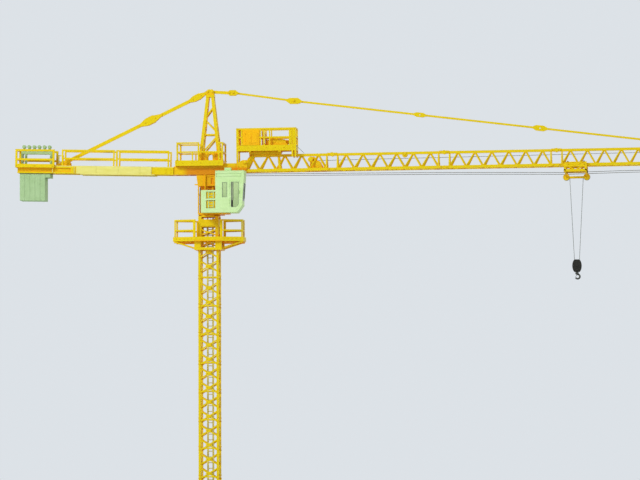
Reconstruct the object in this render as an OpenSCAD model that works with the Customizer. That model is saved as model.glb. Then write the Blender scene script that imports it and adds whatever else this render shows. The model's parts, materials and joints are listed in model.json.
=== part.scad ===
// Scale model of a hammerhead tower crane, in millimetres.
// +X runs along the jib, +Y is the far side, +Z is up.
// The origin is on the mast axis, at the level that the feet stand on.

/* [Base] */
// Distance from the mast axis to the centre of each foot
foot_reach = 50; // [46:1:54]
// Diameter of a foot plate
foot_d = 13; // [10:1:14]
// Thickness of a foot plate
foot_t = 2; // [1.5:0.5:3]
// Width of a cross beam
cross_w = 7; // [5:0.5:9]
// Height of the cross beams
cross_h = 8; // [6:0.5:12]
// Length of a ballast slab, across the crane
ballast_l = 58; // [50:1:60]
// Width of a ballast slab, along the crane
ballast_w = 17; // [12:1:18]
// Height of a ballast slab
ballast_h = 7; // [5:0.5:9]
// Slabs in each ballast stack
ballast_n = 3; // [1:1:4]

/* [Mast] */
// Outside width of the square mast
mast_w = 20.4; // [19:0.2:22]
// Thickness of a mast leg
leg_t = 2.3; // [1.8:0.1:2.8]
// Height of one mast section
section_h = 28.35; // [26:0.35:31.25]
// Number of mast sections
sections = 9; // [8:1:10]
// Thickness of a mast brace
brace_t = 1.3; // [1:0.1:1.6]
// Width of the ladder inside the mast
ladder_w = 6.4; // [5:0.2:8]
// Rungs in each mast section
rungs = 5; // [4:1:6]
// Height of the mast head under the slewing ring
head_h = 32.5; // [30:0.5:34]

/* [Service platform] */
// Length of the service platform along the crane
service_l = 71; // [64:1:76]
// Width of the service platform at its ends
service_end_w = 20; // [16:1:24]
// Width of the service platform beside the mast
service_w = 34; // [30:1:38]
// Height of the service platform's hand rail over its deck
service_rail_h = 20.5; // [17:0.5:21]

/* [Slewing part] */
// Width of the slewing column
column_w = 21.2; // [20:0.2:23]
// Height of the slewing column
column_h = 39.2; // [38:0.2:42]
// Height of the slewing frame's side beams
frame_h = 8.5; // [7.5:0.5:9.5]
// Length of the slewing frame behind the mast axis
frame_back = 34.5; // [30:0.5:38]
// Length of the slewing frame in front of the mast axis
frame_front = 33.5; // [30:0.5:36]
// Width of the slewing frame
frame_w = 20; // [18:0.5:22]
// Height of the walkway rails on the slewing part and the counter-jib
rail_h = 17; // [14:0.5:18]
// Thickness of a hand rail or rail post
rail_t = 1.5; // [1.2:0.1:2]

/* [Cab] */
// Length of the cab
cab_l = 29; // [27:0.5:31]
// Width of the cab
cab_w = 19.5; // [17:0.5:21]
// Height of the cab
cab_h = 38.3; // [36:0.1:39.5]

/* [Tower head] */
// Height of the tower head above the slewing platform
tower_h = 67.6; // [62:0.2:72]
// Outside width of the tower head at its foot, along the jib
tower_foot_w = 22.2; // [21:0.2:23]
// Outside width of the tower head at its top
tower_top_w = 8; // [7:0.2:9]
// Thickness of a tower head leg
tower_leg_t = 3; // [2.4:0.1:3.4]

/* [Jib] */
// Length of one bay of the jib lattice
bay = 16.78; // [15.5:0.1:17.3]
// Distance between the end frames of two jib sections
joint_l = 10.9; // [9:0.1:12]
// Height from the bottom chords to the top chord, centre to centre
jib_h = 15; // [14:0.2:17]
// Distance between the bottom chords, centre to centre
jib_w = 18; // [16:0.5:20]
// Thickness of the top chord
top_chord_t = 2.6; // [2.2:0.1:3]
// Thickness of a bottom chord
bottom_chord_t = 2.7; // [2.2:0.1:3]
// Thickness of a jib brace
jib_brace_t = 1.3; // [1:0.1:1.6]
// Upward slope of the jib, in degrees
jib_slope = 0.55; // [0:0.05:1]
// Diameter of the hoist ropes
rope_d = 0.6; // [0.5:0.1:1]

/* [Counter-jib] */
// Length of the counter-jib from the slewing frame
counter_l = 157.5; // [151:0.5:163]
// Distance between the outer faces of the counter-jib beams
counter_w = 22; // [20:0.5:24]
// Height of a counter-jib beam
counter_h = 7; // [6:0.5:8]
// Upward slope of the counter-jib, in degrees
counter_slope = 1.2; // [0:0.1:1.5]
// Pitch of the counterweight slabs
slab_pitch = 5.13; // [4.8:0.05:5.3]
// Number of long counterweight slabs
slab_n = 5; // [4:1:5]
// Height of a long counterweight slab below the beams
slab_drop = 27.5; // [20:0.5:30]
// Length of the guarded platform over the counterweights
guard_l = 39.5; // [37:0.5:42]

/* [Trolley and hook] */
// Distance of the trolley from the mast axis, as it stands
trolley_x = 366; // [340:1:400]
// Length of the trolley
trolley_l = 24.5; // [22:0.5:26]
// Height of the hook block's top over the ground, as it stands
hook_z = 250; // [200:1:270]

/* [Hidden] */
$fn = 32;
sq = sqrt(2);
eps = 0.01;

mast_z = cross_h;
mast_top = mast_z + sections * section_h;
head_top = mast_top + head_h;
head_plate_t = 1;
fixed_ring_t = 0.8;
ring_t = 1;
ring_d = 22;
slew_gap = 0.3;
slew_z = head_top + fixed_ring_t + slew_gap;
column_z = slew_z + ring_t;
frame_z = column_z + column_h;
deck_z = frame_z + frame_h;
platform_h = 5.5;
tower_z = deck_z + platform_h;
apex_z = tower_z + tower_h;

// The slewing spigot turns in the mast head's bore
spigot_d = 12;
bore_gap = 0.05;
spigot_l = 1.9;

yellow = "#e2cc10";
orange = "#d99a12";
cream = "#dcdc9a";
white = "#dfe6cf";
concrete = "#b9bda6";
dark = "#2c2a22";
grey = "#8d8f8c";

// A square bar between two points. At a turn of 45 its flat faces look up and to the side
module bar(from, to, t, turn = 45) {
    run = to - from;
    len = norm(run);
    translate(from)
        rotate([0, acos(run.z / len), atan2(run.y, run.x)])
            rotate([0, 0, turn]) cylinder(h = len, d = t * sq, $fn = 4);
}

// A round rod between two points
module rod(from, to, d, sides = 8) {
    run = to - from;
    len = norm(run);
    translate(from)
        rotate([0, acos(run.z / len), atan2(run.y, run.x)])
            cylinder(h = len, d = d, $fn = sides);
}

// A box given by its lowest and highest corners
module box(low, high) {
    translate(low) cube(high - low);
}

// The same thing on the near and the far side
module both_sides() {
    children();
    mirror([0, 1, 0]) children();
}

// A flat shape drawn in the XZ plane and given a thickness from y0 to y1
module plate(y0, y1) {
    translate([0, y1, 0]) rotate([90, 0, 0]) linear_extrude(y1 - y0) children();
}

// A round pin or boss across the crane, from y0 to y1
module pin(at, d, y0, y1) {
    translate([at.x, y1, at.z]) rotate([90, 0, 0]) cylinder(h = y1 - y0, d = d);
}

// A guard rail in the XZ plane from x0 to x1: posts, hand rail and knee rail
module rail_panel(x0, x1, z, h, posts, y, t = rail_t) {
    gap = (x1 - x0 - t) / (posts - 1);
    for (i = [0 : posts - 1]) box([x0 + i * gap, y - t / 2, z], [x0 + i * gap + t, y + t / 2, z + h]);
    for (k = [0.5, 1]) box([x0, y - t / 2, z + k * h - t], [x1, y + t / 2, z + k * h]);
}

// A guard rail across the walkway, at x, from y0 to y1
module end_panel(x, y0, y1, z, h, t = rail_t) {
    for (y = [y0, y1 - t]) box([x - t / 2, y, z], [x + t / 2, y + t, z + h]);
    for (k = [0.5, 1]) box([x - t / 2, y0, z + k * h - t], [x + t / 2, y1, z + k * h]);
}

// Base: four beams from the mast axis to round feet, and two ballast stacks

module base_cross() color(yellow) {
    for (a = [45 : 90 : 315]) rotate([0, 0, a]) {
        box([0, -cross_w / 2, foot_t], [foot_reach + 2, cross_w / 2, cross_h]);
        translate([foot_reach, 0, 0]) cylinder(h = foot_t + eps, d = foot_d);
    }
    box([-mast_w / 2 - 1, -mast_w / 2 - 1, 0], [mast_w / 2 + 1, mast_w / 2 + 1, cross_h]);
}

module ballast_stack(side) color(concrete) {
    inner = mast_w / 2 + 3;
    for (i = [0 : ballast_n - 1]) {
        x0 = side * (inner + ballast_w / 2) - ballast_w / 2;
        inset = (i % 2) * 0.6;
        box([x0 + inset, -ballast_l / 2 + inset, cross_h + i * ballast_h],
            [x0 + ballast_w - inset, ballast_l / 2 - inset, cross_h + (i + 1) * ballast_h]);
    }
}

module base_ballast() for (side = [-1, 1]) ballast_stack(side);

// Mast: four legs, four braced sides and an inner ladder

leg_c = (mast_w - leg_t) / 2;

module mast_legs() color(yellow)
    for (x = [-1, 1], y = [-1, 1])
        translate([x * leg_c - leg_t / 2, y * leg_c - leg_t / 2, mast_z])
            cube([leg_t, leg_t, mast_top - mast_z]);

// One braced side, drawn in the XZ plane: two crosses a section and a bar at each joint.
// The top section stands upside down
cross_rise = 5.4;
cross_low = 3.35;
leg_in = leg_c - leg_t / 2;

// A cross between the legs, with its middle at the height z
module leg_cross(z, rise, t, half = leg_in) {
    for (s = [-1, 1]) bar([-half - 1, 0, z - s * rise], [half + 1, 0, z + s * rise], t);
}

module mast_side() {
    intersection() {
        for (i = [0 : 2 * sections - 1]) {
            low = i < 2 * sections - 2 ? cross_low : section_h / 2 - cross_low;
            leg_cross(mast_z + low + i * section_h / 2, cross_rise, brace_t);
        }
        box([-leg_in, -brace_t, mast_z], [leg_in, brace_t, mast_top]);
    }
    for (i = [0 : sections]) {
        z = mast_z + i * section_h;
        box([-leg_in, -brace_t / 2, max(mast_z, z - brace_t / 2)],
            [leg_in, brace_t / 2, min(mast_top, z + brace_t / 2)]);
    }
}

module mast_front() color(yellow) translate([0, -leg_c, 0]) mast_side();
module mast_back() color(yellow) translate([0, leg_c, 0]) mast_side();
module mast_left() color(yellow) translate([-leg_c, 0, 0]) rotate([0, 0, 90]) mast_side();
module mast_right() color(yellow) translate([leg_c, 0, 0]) rotate([0, 0, 90]) mast_side();

ladder_t = 1.1;
ladder_y = leg_c - brace_t / 2 - 1.1;

module mast_ladder() color(cream) {
    top = head_top - head_plate_t;
    n = floor((top - mast_z) * rungs / section_h);
    for (s = [-1, 1])
        translate([s * (ladder_w - ladder_t) / 2 - ladder_t / 2, ladder_y - ladder_t, mast_z])
            cube([ladder_t, ladder_t + 1.1, top - mast_z]);
    for (i = [0 : n - 1])
        translate([0, ladder_y - ladder_t / 2, mast_z + (i + 0.5) * section_h / rungs])
            rod([-ladder_w / 2 + eps, 0, 0], [ladder_w / 2 - eps, 0, 0], 0.8, 6);
}

// Mast head: thicker legs, close crosses, a band, and the plate and ring that the crane turns on
head_leg_t = 3.3;
head_band_h = 6.6;
head_band_low = head_top - 10;
head_cross_rise = 3.4;

module mast_head() color(yellow) {
    c = mast_w / 2 - head_leg_t / 2;
    top = head_top - head_plate_t;
    for (x = [-c, c], y = [-c, c])
        box([x - head_leg_t / 2, y - head_leg_t / 2, mast_top],
            [x + head_leg_t / 2, y + head_leg_t / 2, top]);
    for (a = [0 : 90 : 270]) rotate([0, 0, a]) translate([0, -leg_c, 0]) {
        intersection() {
            for (k = [1 / 6, 1 / 2, 5 / 6])
                leg_cross(mast_top + k * head_h, head_cross_rise, brace_t + 0.1, c);
            box([-c, -brace_t / 2, mast_top], [c, brace_t / 2, top]);
        }
        for (k = [0, 1 / 3, 2 / 3]) {
            z = mast_top + k * head_h;
            box([-c, -brace_t / 2, z], [c, brace_t / 2, z + brace_t]);
        }
    }
    square_ring(mast_w, mast_w - 2, head_band_low, head_band_low + head_band_h);
    difference() {
        union() {
            box([-mast_w / 2, -mast_w / 2, top], [mast_w / 2, mast_w / 2, head_top]);
            translate([0, 0, head_top]) cylinder(h = fixed_ring_t, d = ring_d);
        }
        translate([0, 0, top - 1])
            cylinder(h = head_plate_t + fixed_ring_t + 2, d = spigot_d + 2 * bore_gap);
    }
}

// Service platform: a collar round the mast, a deck with two wings and struts, and rails

service_z = mast_top + 7.2;
service_floor_t = 1.2;
toe_h = 4.4;
toe_t = 1.2;
collar_w = mast_w + 7;
collar_t = 1.2;
collar_low = mast_top - 1.4;
collar_ring_h = 2.6;
strut_t = 1.5;

module service_outline(grow = 0) {
    l = service_l / 2 + grow;
    we = service_end_w / 2 + grow;
    w = service_w / 2 + grow;
    polygon([[-l, -we], [-collar_w / 2, -w], [collar_w / 2, -w], [l, -we],
        [l, we], [collar_w / 2, w], [-collar_w / 2, w], [-l, we]]);
}

module square_ring(outer, inner, z0, z1) {
    difference() {
        box([-outer / 2, -outer / 2, z0], [outer / 2, outer / 2, z1]);
        box([-inner / 2, -inner / 2, z0 - 1], [inner / 2, inner / 2, z1 + 1]);
    }
}

module service_collar() {
    open = mast_w / 2 - 3;
    square_ring(collar_w, mast_w, collar_low, collar_low + collar_ring_h);
    difference() {
        square_ring(collar_w, collar_w - 2 * collar_t, collar_low, service_z + eps);
        for (a = [0, 90]) rotate([0, 0, a])
            box([-open, -collar_w, collar_low + collar_ring_h], [open, collar_w, service_z + 1]);
    }
    strut_y = service_end_w / 2 - 0.5;
    for (s = [-1, 1], y = [-strut_y, strut_y])
        bar([s * (collar_w / 2 - 1), y, collar_low + strut_t],
            [s * (service_l / 2 - 1), y, service_z], strut_t);
}

module service_platform() color(yellow) {
    service_collar();
    difference() {
        translate([0, 0, service_z]) linear_extrude(toe_h) service_outline();
        translate([0, 0, service_z + service_floor_t]) linear_extrude(toe_h) service_outline(-toe_t);
        box([-mast_w / 2, -mast_w / 2, service_z - 1], [mast_w / 2, mast_w / 2, service_z + toe_h]);
    }
}

// The guard rail's line round the two wings, as a flat shape
module service_rail_ring() {
    difference() {
        service_outline(-toe_t);
        service_outline(-toe_t - rail_t);
        square([collar_w - 2 * rail_t, 2 * service_w], center = true);
    }
}

module service_rails() color(yellow) {
    z0 = service_z + service_floor_t;
    end_corner = [service_l / 2 - toe_t, service_end_w / 2 - toe_t];
    side_corner = [collar_w / 2 - 0.4, service_w / 2 - toe_t];
    for (k = [0.51, 1]) translate([0, 0, z0 + k * service_rail_h - rail_t])
        linear_extrude(rail_t) service_rail_ring();
    translate([0, 0, z0]) linear_extrude(service_rail_h) intersection() {
        service_rail_ring();
        for (c = [end_corner, side_corner], sx = [-1, 1], sy = [-1, 1])
            translate([sx * c.x, sy * c.y]) square(2 * rail_t, center = true);
    }
}

// Slewing part: ring, column, cab with its gallery, frame, platform and tower head

column_d = 18;
column_y = column_d / 2;
head_over = 1.6;
column_head_h = 11.5;
head_lean = 1.6;
cab_gap = 2.3;
cab_x = 9.4;
cab_y = -column_y - cab_gap;
cab_near = cab_y - cab_w;
cab_floor_t = 3.4;
cab_z = column_z + cab_floor_t;
gallery_l = 14.3;
cab_chamfer = [7, 7.5];
cab_lean = 2;

module slew_ring() color(yellow) {
    translate([0, 0, slew_z]) cylinder(h = ring_t, d = ring_d);
    translate([0, 0, slew_z - spigot_l]) cylinder(h = spigot_l + eps, d = spigot_d);
    box([-mast_w / 2, -column_y, slew_z], [column_w / 2 + 4, column_y, column_z]);
    box([-4, cab_near + 3, slew_z], [cab_x + 13, -column_y + eps, column_z]);
}

// Column: a box behind the ladder, slim posts at its corners, and a wider head with a framed
// recess and a pipe on its front
module slew_column() color(yellow) {
    w = column_w / 2;
    post = 1.2;
    head_z = frame_z - column_head_h;
    core_x = -w + 2.2;
    box([-w, -column_y, column_z], [w, column_y, column_z + post]);
    box([core_x, -column_y + 4, column_z], [w, column_y, head_z + eps]);
    for (x = [-w, w - post], y = [-column_y, column_y - post])
        box([x, y, column_z], [x + post, y + post, head_z + eps]);
    for (k = [1 / 3, 2 / 3], y = [-column_y, column_y - post]) {
        z = column_z + k * (head_z - column_z);
        box([-w, y, z], [core_x + eps, y + post, z + post]);
    }
    difference() {
        plate(-column_y, column_y) polygon([[-w - head_over + head_lean, head_z], [w + head_over, head_z],
            [w + head_over, frame_z], [-w - head_over, frame_z]]);
        box([-1.8, -column_y - 1, head_z + 1], [5.4, -column_y + 0.6, frame_z - 2]);
        box([2.4, -column_y - 1, head_z + 2.2], [5, -column_y + 1.6, frame_z - 3.6]);
    }
    translate([-3.1, -column_y - 0.6, frame_z - 17]) cylinder(h = 17, d = 1.5, $fn = 8);
    box([-w - head_over - 1.6, -column_y, head_z + 1], [-w, -column_y + post, head_z + 2.2]);
}

// Ladder up the column, with its rails on the column's box
module column_ladder() color(yellow) {
    x = 1.4;
    half = 3.4;
    face = -column_y + 4;
    rail = 1.1;
    top = frame_z - column_head_h;
    low = column_z + 1.2;
    n = 5;
    for (rail_x = [x - half, x + half - rail])
        box([rail_x, face - 2.6, low], [rail_x + rail, face, top]);
    for (i = [0 : n - 1])
        translate([x, face - 2, low + (i + 0.5) * (top - low) / n])
            rod([-half + eps, 0, 0], [half - eps, 0, 0], 0.9, 6);
}

// The cab's side: its front leans out towards the top, and its lower corner is cut off
module cab_outline() {
    polygon([[0, 0], [cab_l - cab_chamfer.x, 0], [cab_l - cab_lean, cab_chamfer.y],
        [cab_l, cab_h], [0, cab_h]]);
}

// Flat shapes of the cab's side openings: a window, and a door glass with a round lower corner
module cab_openings() {
    door_r = 4;
    translate([7, 12]) square([4.6, 14.5]);
    difference() {
        translate([15.8, 2.1]) square([7.5, 24.8]);
        translate([23.3 - door_r, 2.1]) difference() {
            square(door_r + eps);
            translate([0, door_r]) circle(door_r);
        }
    }
}

pane_depth = 0.9;
pane_t = 0.5;
screen_low = 11;
screen_high = 26;

// The windscreen's place across the cab's leaning front
module windscreen(depth, t) {
    run = [cab_lean, cab_h - cab_chamfer.y];
    lean = atan2(run.x, run.y);
    translate([cab_x + cab_l - cab_lean, cab_near + 2, cab_z + cab_chamfer.y])
        rotate([0, lean, 0]) translate([-depth, 0, screen_low - cab_chamfer.y])
            cube([t, cab_w - 4, screen_high - screen_low]);
}

module cab() color(white) {
    difference() {
        translate([cab_x, 0, cab_z]) plate(cab_near, cab_y) cab_outline();
        translate([cab_x, 0, cab_z]) {
            plate(cab_near - eps, cab_near + pane_depth) cab_openings();
            plate(cab_y - pane_depth, cab_y + eps) cab_openings();
        }
        windscreen(pane_depth, pane_depth + 1);
    }
    roof = cab_z + cab_h;
    box([cab_x + 8.5, cab_near + 6, roof - eps], [cab_x + 15, cab_near + 13, roof + 3.2]);
}

module cab_windows() color(grey) {
    translate([cab_x, 0, cab_z]) {
        plate(cab_near + pane_depth - pane_t, cab_near + pane_depth) cab_openings();
        plate(cab_y - pane_depth, cab_y - pane_depth + pane_t) cab_openings();
    }
    windscreen(pane_depth, pane_t);
}

// The floor under the cab runs on to its left, with a pale balustrade round it
module cab_gallery() color(white) {
    left = cab_x - gallery_l;
    post = 1.6;
    top = cab_z + 19;
    box([left, cab_near, column_z], [cab_x + cab_l - cab_chamfer.x - 1, cab_y, cab_z]);
    box([left, cab_y - eps, column_z], [column_w / 2, -column_y, column_z + 1.2]);
    box([left, cab_near, cab_z - eps], [left + post, cab_y, top]);
    for (z = [cab_z + 9, top - post])
        box([left, cab_near, z], [cab_x, cab_near + post, z + post]);
    box([left, cab_near, cab_z - eps], [left + 5.2, cab_near + post, top]);
    box([left, cab_near, cab_z - eps], [cab_x, cab_near + post, cab_z + 1]);
}

// Frame that carries the jibs: side beams, cross plates, and the pin plates at the jib's foot
module slew_frame() color(yellow) {
    y = frame_w / 2;
    wall = 1.6;
    foot = 2.6;
    foot_z = frame_z + 2.7;
    both_sides() {
        box([-frame_back, y - wall, frame_z], [frame_front, y, deck_z]);
        box([-frame_back, y - 3, frame_z], [frame_front, y - wall + eps, frame_z + 1.2]);
        box([frame_front - 4.6, y - eps, foot_z], [frame_front - 0.4, y + 0.4, deck_z]);
        box([frame_front - 4.6, y, foot_z], [frame_front - 0.4, y + 0.4, deck_z + foot]);
        plate(y + 0.4, y + 1.6) polygon([[frame_front - 4.6, foot_z], [frame_front + 3, foot_z],
            [frame_front + 5.4, frame_z + 5], [frame_front + 5.4, tower_z], [frame_front + 1, tower_z],
            [frame_front - 4.6, deck_z + foot]]);
        pin([frame_front + 3.6, 0, tower_z - 2.2], 4, y + 0.4, y + 2.2);
    }
    for (x = [-frame_back, -21, -7.5, 6, 19, frame_front - wall])
        box([x, -y + wall - eps, frame_z], [x + wall, y - wall + eps, deck_z]);
    box([-column_w / 2 - 2, -y + wall - eps, frame_z], [column_w / 2 + 2, y - wall + eps, frame_z + 1.2]);
    box([frame_front - 5, -1.2, frame_z - 6.5], [frame_front - wall, 1.2, deck_z]);
}

front_deck_t = 2.5;
platform_front = 15.4;
platform_back = -frame_back + 1.8;

platform_w = 30;
platform_wall = 1.4;

// A hollow deck that is wider than the frame, with its inner walls on the frame's side beams
module slew_platform() color(yellow) {
    y = platform_w / 2;
    wall = platform_wall;
    inner = frame_w / 2;
    difference() {
        box([platform_back, -y, deck_z], [platform_front, y, tower_z]);
        for (c = [[-y + wall, -inner], [-inner + wall, inner - wall], [inner, y - wall]])
            box([platform_back + wall, c[0], deck_z - 1], [platform_front - wall, c[1], tower_z - wall]);
    }
    box([platform_front - eps, -inner, deck_z], [frame_front - 0.7, inner, deck_z + front_deck_t]);
}

// Rails round the platform, with only the knee rail past the tower head
module slew_rails() color(yellow) {
    y = platform_w / 2 - rail_t / 2;
    back = platform_back + 1.4;
    front = platform_front - 0.1;
    h = rail_h + 1;
    knee = tower_z + h / 2;
    for (s = [-1, 1]) {
        rail_panel(back, -tower_foot_w / 2 + 2.6, tower_z, h, 2, s * y);
        rail_panel(tower_foot_w / 2 - 0.6, front, tower_z, h, 2, s * y);
        box([back, s * y - rail_t / 2, knee - rail_t], [front, s * y + rail_t / 2, knee]);
        box([-15.9, s * y - rail_t / 2, tower_z], [-14.7, s * y + rail_t / 2, knee]);
    }
    for (x = [back + rail_t / 2, front - rail_t / 2])
        end_panel(x, -platform_w / 2 + rail_t, platform_w / 2 - rail_t, tower_z, h);
}

// Tower head: four leaning legs, braces, arched foot plates, and the pin plates of the ties
tower_x = 1.2;
tower_foot_d = 20;
legs_top = apex_z - 4;
lug_t = 1.2;
lug_gap = 0.3;
tie_t = 1.8;
lug_y = tie_t / 2 + lug_gap;
pin_d = 2;
tie_top_x = 2.3;
tie_top_z = apex_z + 1.4;

// The pin that holds a tie's eye between two lug plates
module lug_pin(at) {
    pin(at, pin_d - 2 * bore_gap, -lug_y - lug_t, lug_y + lug_t);
}

// Centre of a leg along and across the crane, at the height z
top_c = (tower_top_w - tower_leg_t) / 2;
foot_cx = (tower_foot_w - tower_leg_t) / 2;
foot_cy = (tower_foot_d - tower_leg_t) / 2;
function leg_f(z) = (z - tower_z) / (legs_top - tower_z);
function leg_cx(z) = foot_cx + leg_f(z) * (top_c - foot_cx);
function leg_cy(z) = foot_cy + leg_f(z) * (top_c - foot_cy);
function leg_turn(x, y) = atan2(-y * (foot_cy - top_c), -x * (foot_cx - top_c));
function leg_at(sx, sy, z) = [sx * leg_cx(z), sy * leg_cy(z), z];

// Braces of one face as pairs of heights, from the left leg to the right leg
tower_braces = [[6, 24], [26, 26], [41, 29], [43, 54]];

module foot_arch(half) {
    h = 8;
    r = 3;
    difference() {
        translate([-half, 0]) square([2 * half, h]);
        translate([0, r + 0.8]) circle(r);
        translate([-r, -1]) square([2 * r, r + 1.8]);
    }
}

module tower_head() color(yellow) translate([tower_x, 0, 0]) {
    t = 1.5;
    w = tower_top_w / 2 + 0.3;
    intersection() {
        union() {
            for (x = [-1, 1], y = [-1, 1])
                bar(leg_at(x, y, tower_z - 2), leg_at(x, y, legs_top + 1), tower_leg_t,
                    45 - leg_turn(x, y));
            for (b = tower_braces, s = [-1, 1]) {
                bar(leg_at(-1, s, tower_z + b[0]), leg_at(1, s, tower_z + b[1]), t);
                bar(leg_at(s, -1, tower_z + b[0]), leg_at(s, 1, tower_z + b[1]), t);
            }
        }
        box([-tower_foot_w, -tower_foot_d, tower_z], [tower_foot_w, tower_foot_d, legs_top + 1]);
    }
    for (a = [0, 180]) rotate([0, 0, a])
        translate([0, 0, tower_z]) plate(-foot_cy - 0.2, -foot_cy + 1) foot_arch(foot_cx);
    box([-w, -w, legs_top], [w, w, legs_top + 2.4]);
    lug_x = tie_top_x + 1.6;
    both_sides() plate(lug_y, lug_y + lug_t) polygon([[-lug_x, legs_top + 2.3], [lug_x, legs_top + 2.3],
        [lug_x, apex_z + 2], [tie_top_x, apex_z + 4], [-tie_top_x, apex_z + 4], [-lug_x, apex_z + 2]]);
    for (x = [-tie_top_x, tie_top_x]) lug_pin([x, 0, tie_top_z]);
}

// Counter-jib: its own frame starts at the slewing frame and runs along -X

module on_counter() {
    translate([-frame_back, 0, frame_z]) rotate([0, counter_slope, 0]) children();
}

// A point of the counter-jib's frame, in the crane's frame
function from_counter(x, z) = [-frame_back + x * cos(counter_slope) + z * sin(counter_slope),
    0, frame_z - x * sin(counter_slope) + z * cos(counter_slope)];

beam_w = 2.4;
web_t = 0.9;
flange_t = 1.5;
deck_t = 0.8;
walk_z = counter_h + deck_t;
counter_gap = 0.3;
guard_x0 = -counter_l - 2;
guard_x1 = guard_x0 + guard_l;
slab_x0 = -counter_l + 2.3;
slabs_l = (slab_n + 1) * slab_pitch;
board_x0 = guard_x1 + 21.8;
board_x1 = -22.3;

// Two beams with an open web under the counterweights, joined by cross plates
module counter_beams() color(yellow) on_counter() {
    y = counter_w / 2;
    open_x1 = board_x0 - 5.5;
    both_sides() difference() {
        box([-counter_l, y - beam_w, 0], [-counter_gap, y, counter_h]);
        box([-counter_l - 1, y - beam_w + web_t, flange_t], [open_x1, y + 1, counter_h - flange_t]);
    }
    bays = 4;
    inner_x = slab_x0 + slabs_l + 2;
    cross_x = [-counter_l, for (i = [0 : bays]) inner_x + i * (-counter_gap - 1.5 - inner_x) / bays];
    for (x = cross_x) box([x, -y + beam_w - eps, 0], [x + 1.5, y - beam_w + eps, counter_h]);
}

module counter_deck() color(cream) on_counter()
    box([-counter_l, -counter_w / 2, counter_h], [-counter_gap, counter_w / 2, walk_z]);

panel_gap = 1.6;
panels_x0 = guard_x1 + 7;
panels_x1 = -5;
panel_l = (panels_x1 - panels_x0 - panel_gap) / 2;

module counter_rails() color(yellow) on_counter() {
    y = counter_w / 2 - rail_t / 2;
    for (x = [panels_x0, panels_x0 + panel_l + panel_gap], s = [-1, 1])
        rail_panel(x, x + panel_l, walk_z, rail_h - 0.8, 2, s * y);
}

module counter_boards() color(cream) on_counter() both_sides() {
    y = counter_w / 2;
    box([board_x0, y, 0], [board_x1, y + 0.8, walk_z]);
    box([board_x0 + 4, y - beam_w, -0.8], [board_x1 + 3, y + 0.8, 0]);
}

// Slabs hang level, each from its own place under the beams
slab_w = counter_w - 3;
slab_gap = 0.12;

module counterweights() color(concrete)
    for (i = [0 : slab_n]) {
        short = i == slab_n;
        drop = short ? 4.2 : slab_drop;
        translate(from_counter(slab_x0 + i * slab_pitch, 0)) {
            box([0, -slab_w / 2, -drop], [slab_pitch - slab_gap, slab_w / 2, -0.4]);
            box([1, -3, -0.5], [slab_pitch - 1.2, 3, 1.4]);
        }
    }

// Rack over the guarded platform: a beam on posts, with a round eye over each slab
rack_w = 5;

module counterweight_rack() color(concrete) on_counter() {
    x1 = slab_x0 + slabs_l;
    z = walk_z + guard_floor_t;
    beam_z = z + 10.6;
    box([slab_x0, -rack_w / 2, beam_z], [x1, rack_w / 2, beam_z + 2.8]);
    for (x = [slab_x0, slab_x0 + 3.6, x1 - 1.8])
        box([x, -rack_w / 2, z], [x + 1.8, rack_w / 2, beam_z + eps]);
    for (i = [0 : slab_n]) {
        x = slab_x0 + (i + 0.5) * slab_pitch;
        box([x - 1.1, -1.2, beam_z], [x + 1.1, 1.2, beam_z + 7]);
        pin([x, 0, beam_z + 7.4], 3.6, -2, 2);
    }
}

guard_floor_t = 1;
guard_w = 27;
guard_toe_h = 3.6;

// Guarded platform: a floor on the deck, with toe boards and posts that start beside the beams
module counterweight_guard() color(yellow) on_counter() {
    y = guard_w / 2;
    low = counter_h - flange_t;
    h = walk_z + rail_h - 1 - low;
    box([guard_x0, -y, walk_z], [guard_x1, y, walk_z + guard_floor_t]);
    box([guard_x0, -y, low], [guard_x0 + 1, y, low + guard_toe_h]);
    for (s = [-1, 1]) {
        rail_panel(guard_x0, guard_x1, low, h, 2, s * (y - 1), 2);
        box([guard_x0, s * (y - 0.5) - 0.5, low], [guard_x1, s * (y - 0.5) + 0.5, low + guard_toe_h]);
    }
    end_panel(guard_x0 + rail_t / 2, -y, y, low, h);
}

// Ends of the counter-jib tie: its bracket stands on the deck, next to the guarded platform
anchor_lx = guard_x1 + 7.5;
anchor_lz = 2.9;
counter_tie_low = from_counter(anchor_lx, walk_z + anchor_lz);

module counter_anchor() color(yellow) on_counter() {
    z = walk_z;
    both_sides() {
        plate(lug_y, lug_y + lug_t) polygon([[guard_x1 + 0.5, z], [anchor_lx - 1.6, z + anchor_lz + 2.2],
            [anchor_lx + 1.2, z + anchor_lz + 2.2], [anchor_lx + 8, z]]);
        pin([anchor_lx, 0, z + anchor_lz], 4.6, lug_y, lug_y + lug_t + 0.8);
    }
    lug_pin([anchor_lx, 0, z + anchor_lz]);
}

// A flat tie in the XZ plane, with an eye at each end and six-sided plates along it.
// Each plate is given by its place from 0 to 1, its length and its height
module tie(from, to, h, eye_d, plates = []) {
    run = to - from;
    len = norm(run);
    translate([from.x, 0, from.z]) rotate([0, -atan2(run.z, run.x), 0]) difference() {
        union() {
            box([0, -tie_t / 2, -h / 2], [len, tie_t / 2, h / 2]);
            for (x = [0, len]) pin([x, 0, 0], eye_d, -tie_t / 2, tie_t / 2);
            for (p = plates) translate([p[0] * len, 0, 0]) plate(-tie_t / 2 - 0.2, tie_t / 2 + 0.2)
                polygon([[-p[1] / 2, 0], [-p[1] / 5, p[2] / 2], [p[1] / 5, p[2] / 2],
                    [p[1] / 2, 0], [p[1] / 5, -p[2] / 2], [-p[1] / 5, -p[2] / 2]]);
        }
        for (x = [0, len]) pin([x, 0, 0], pin_d, -tie_t, tie_t);
        for (p = plates) pin([p[0] * len, 0, 0], p[2] / 4, -tie_t, tie_t);
    }
}

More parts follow.
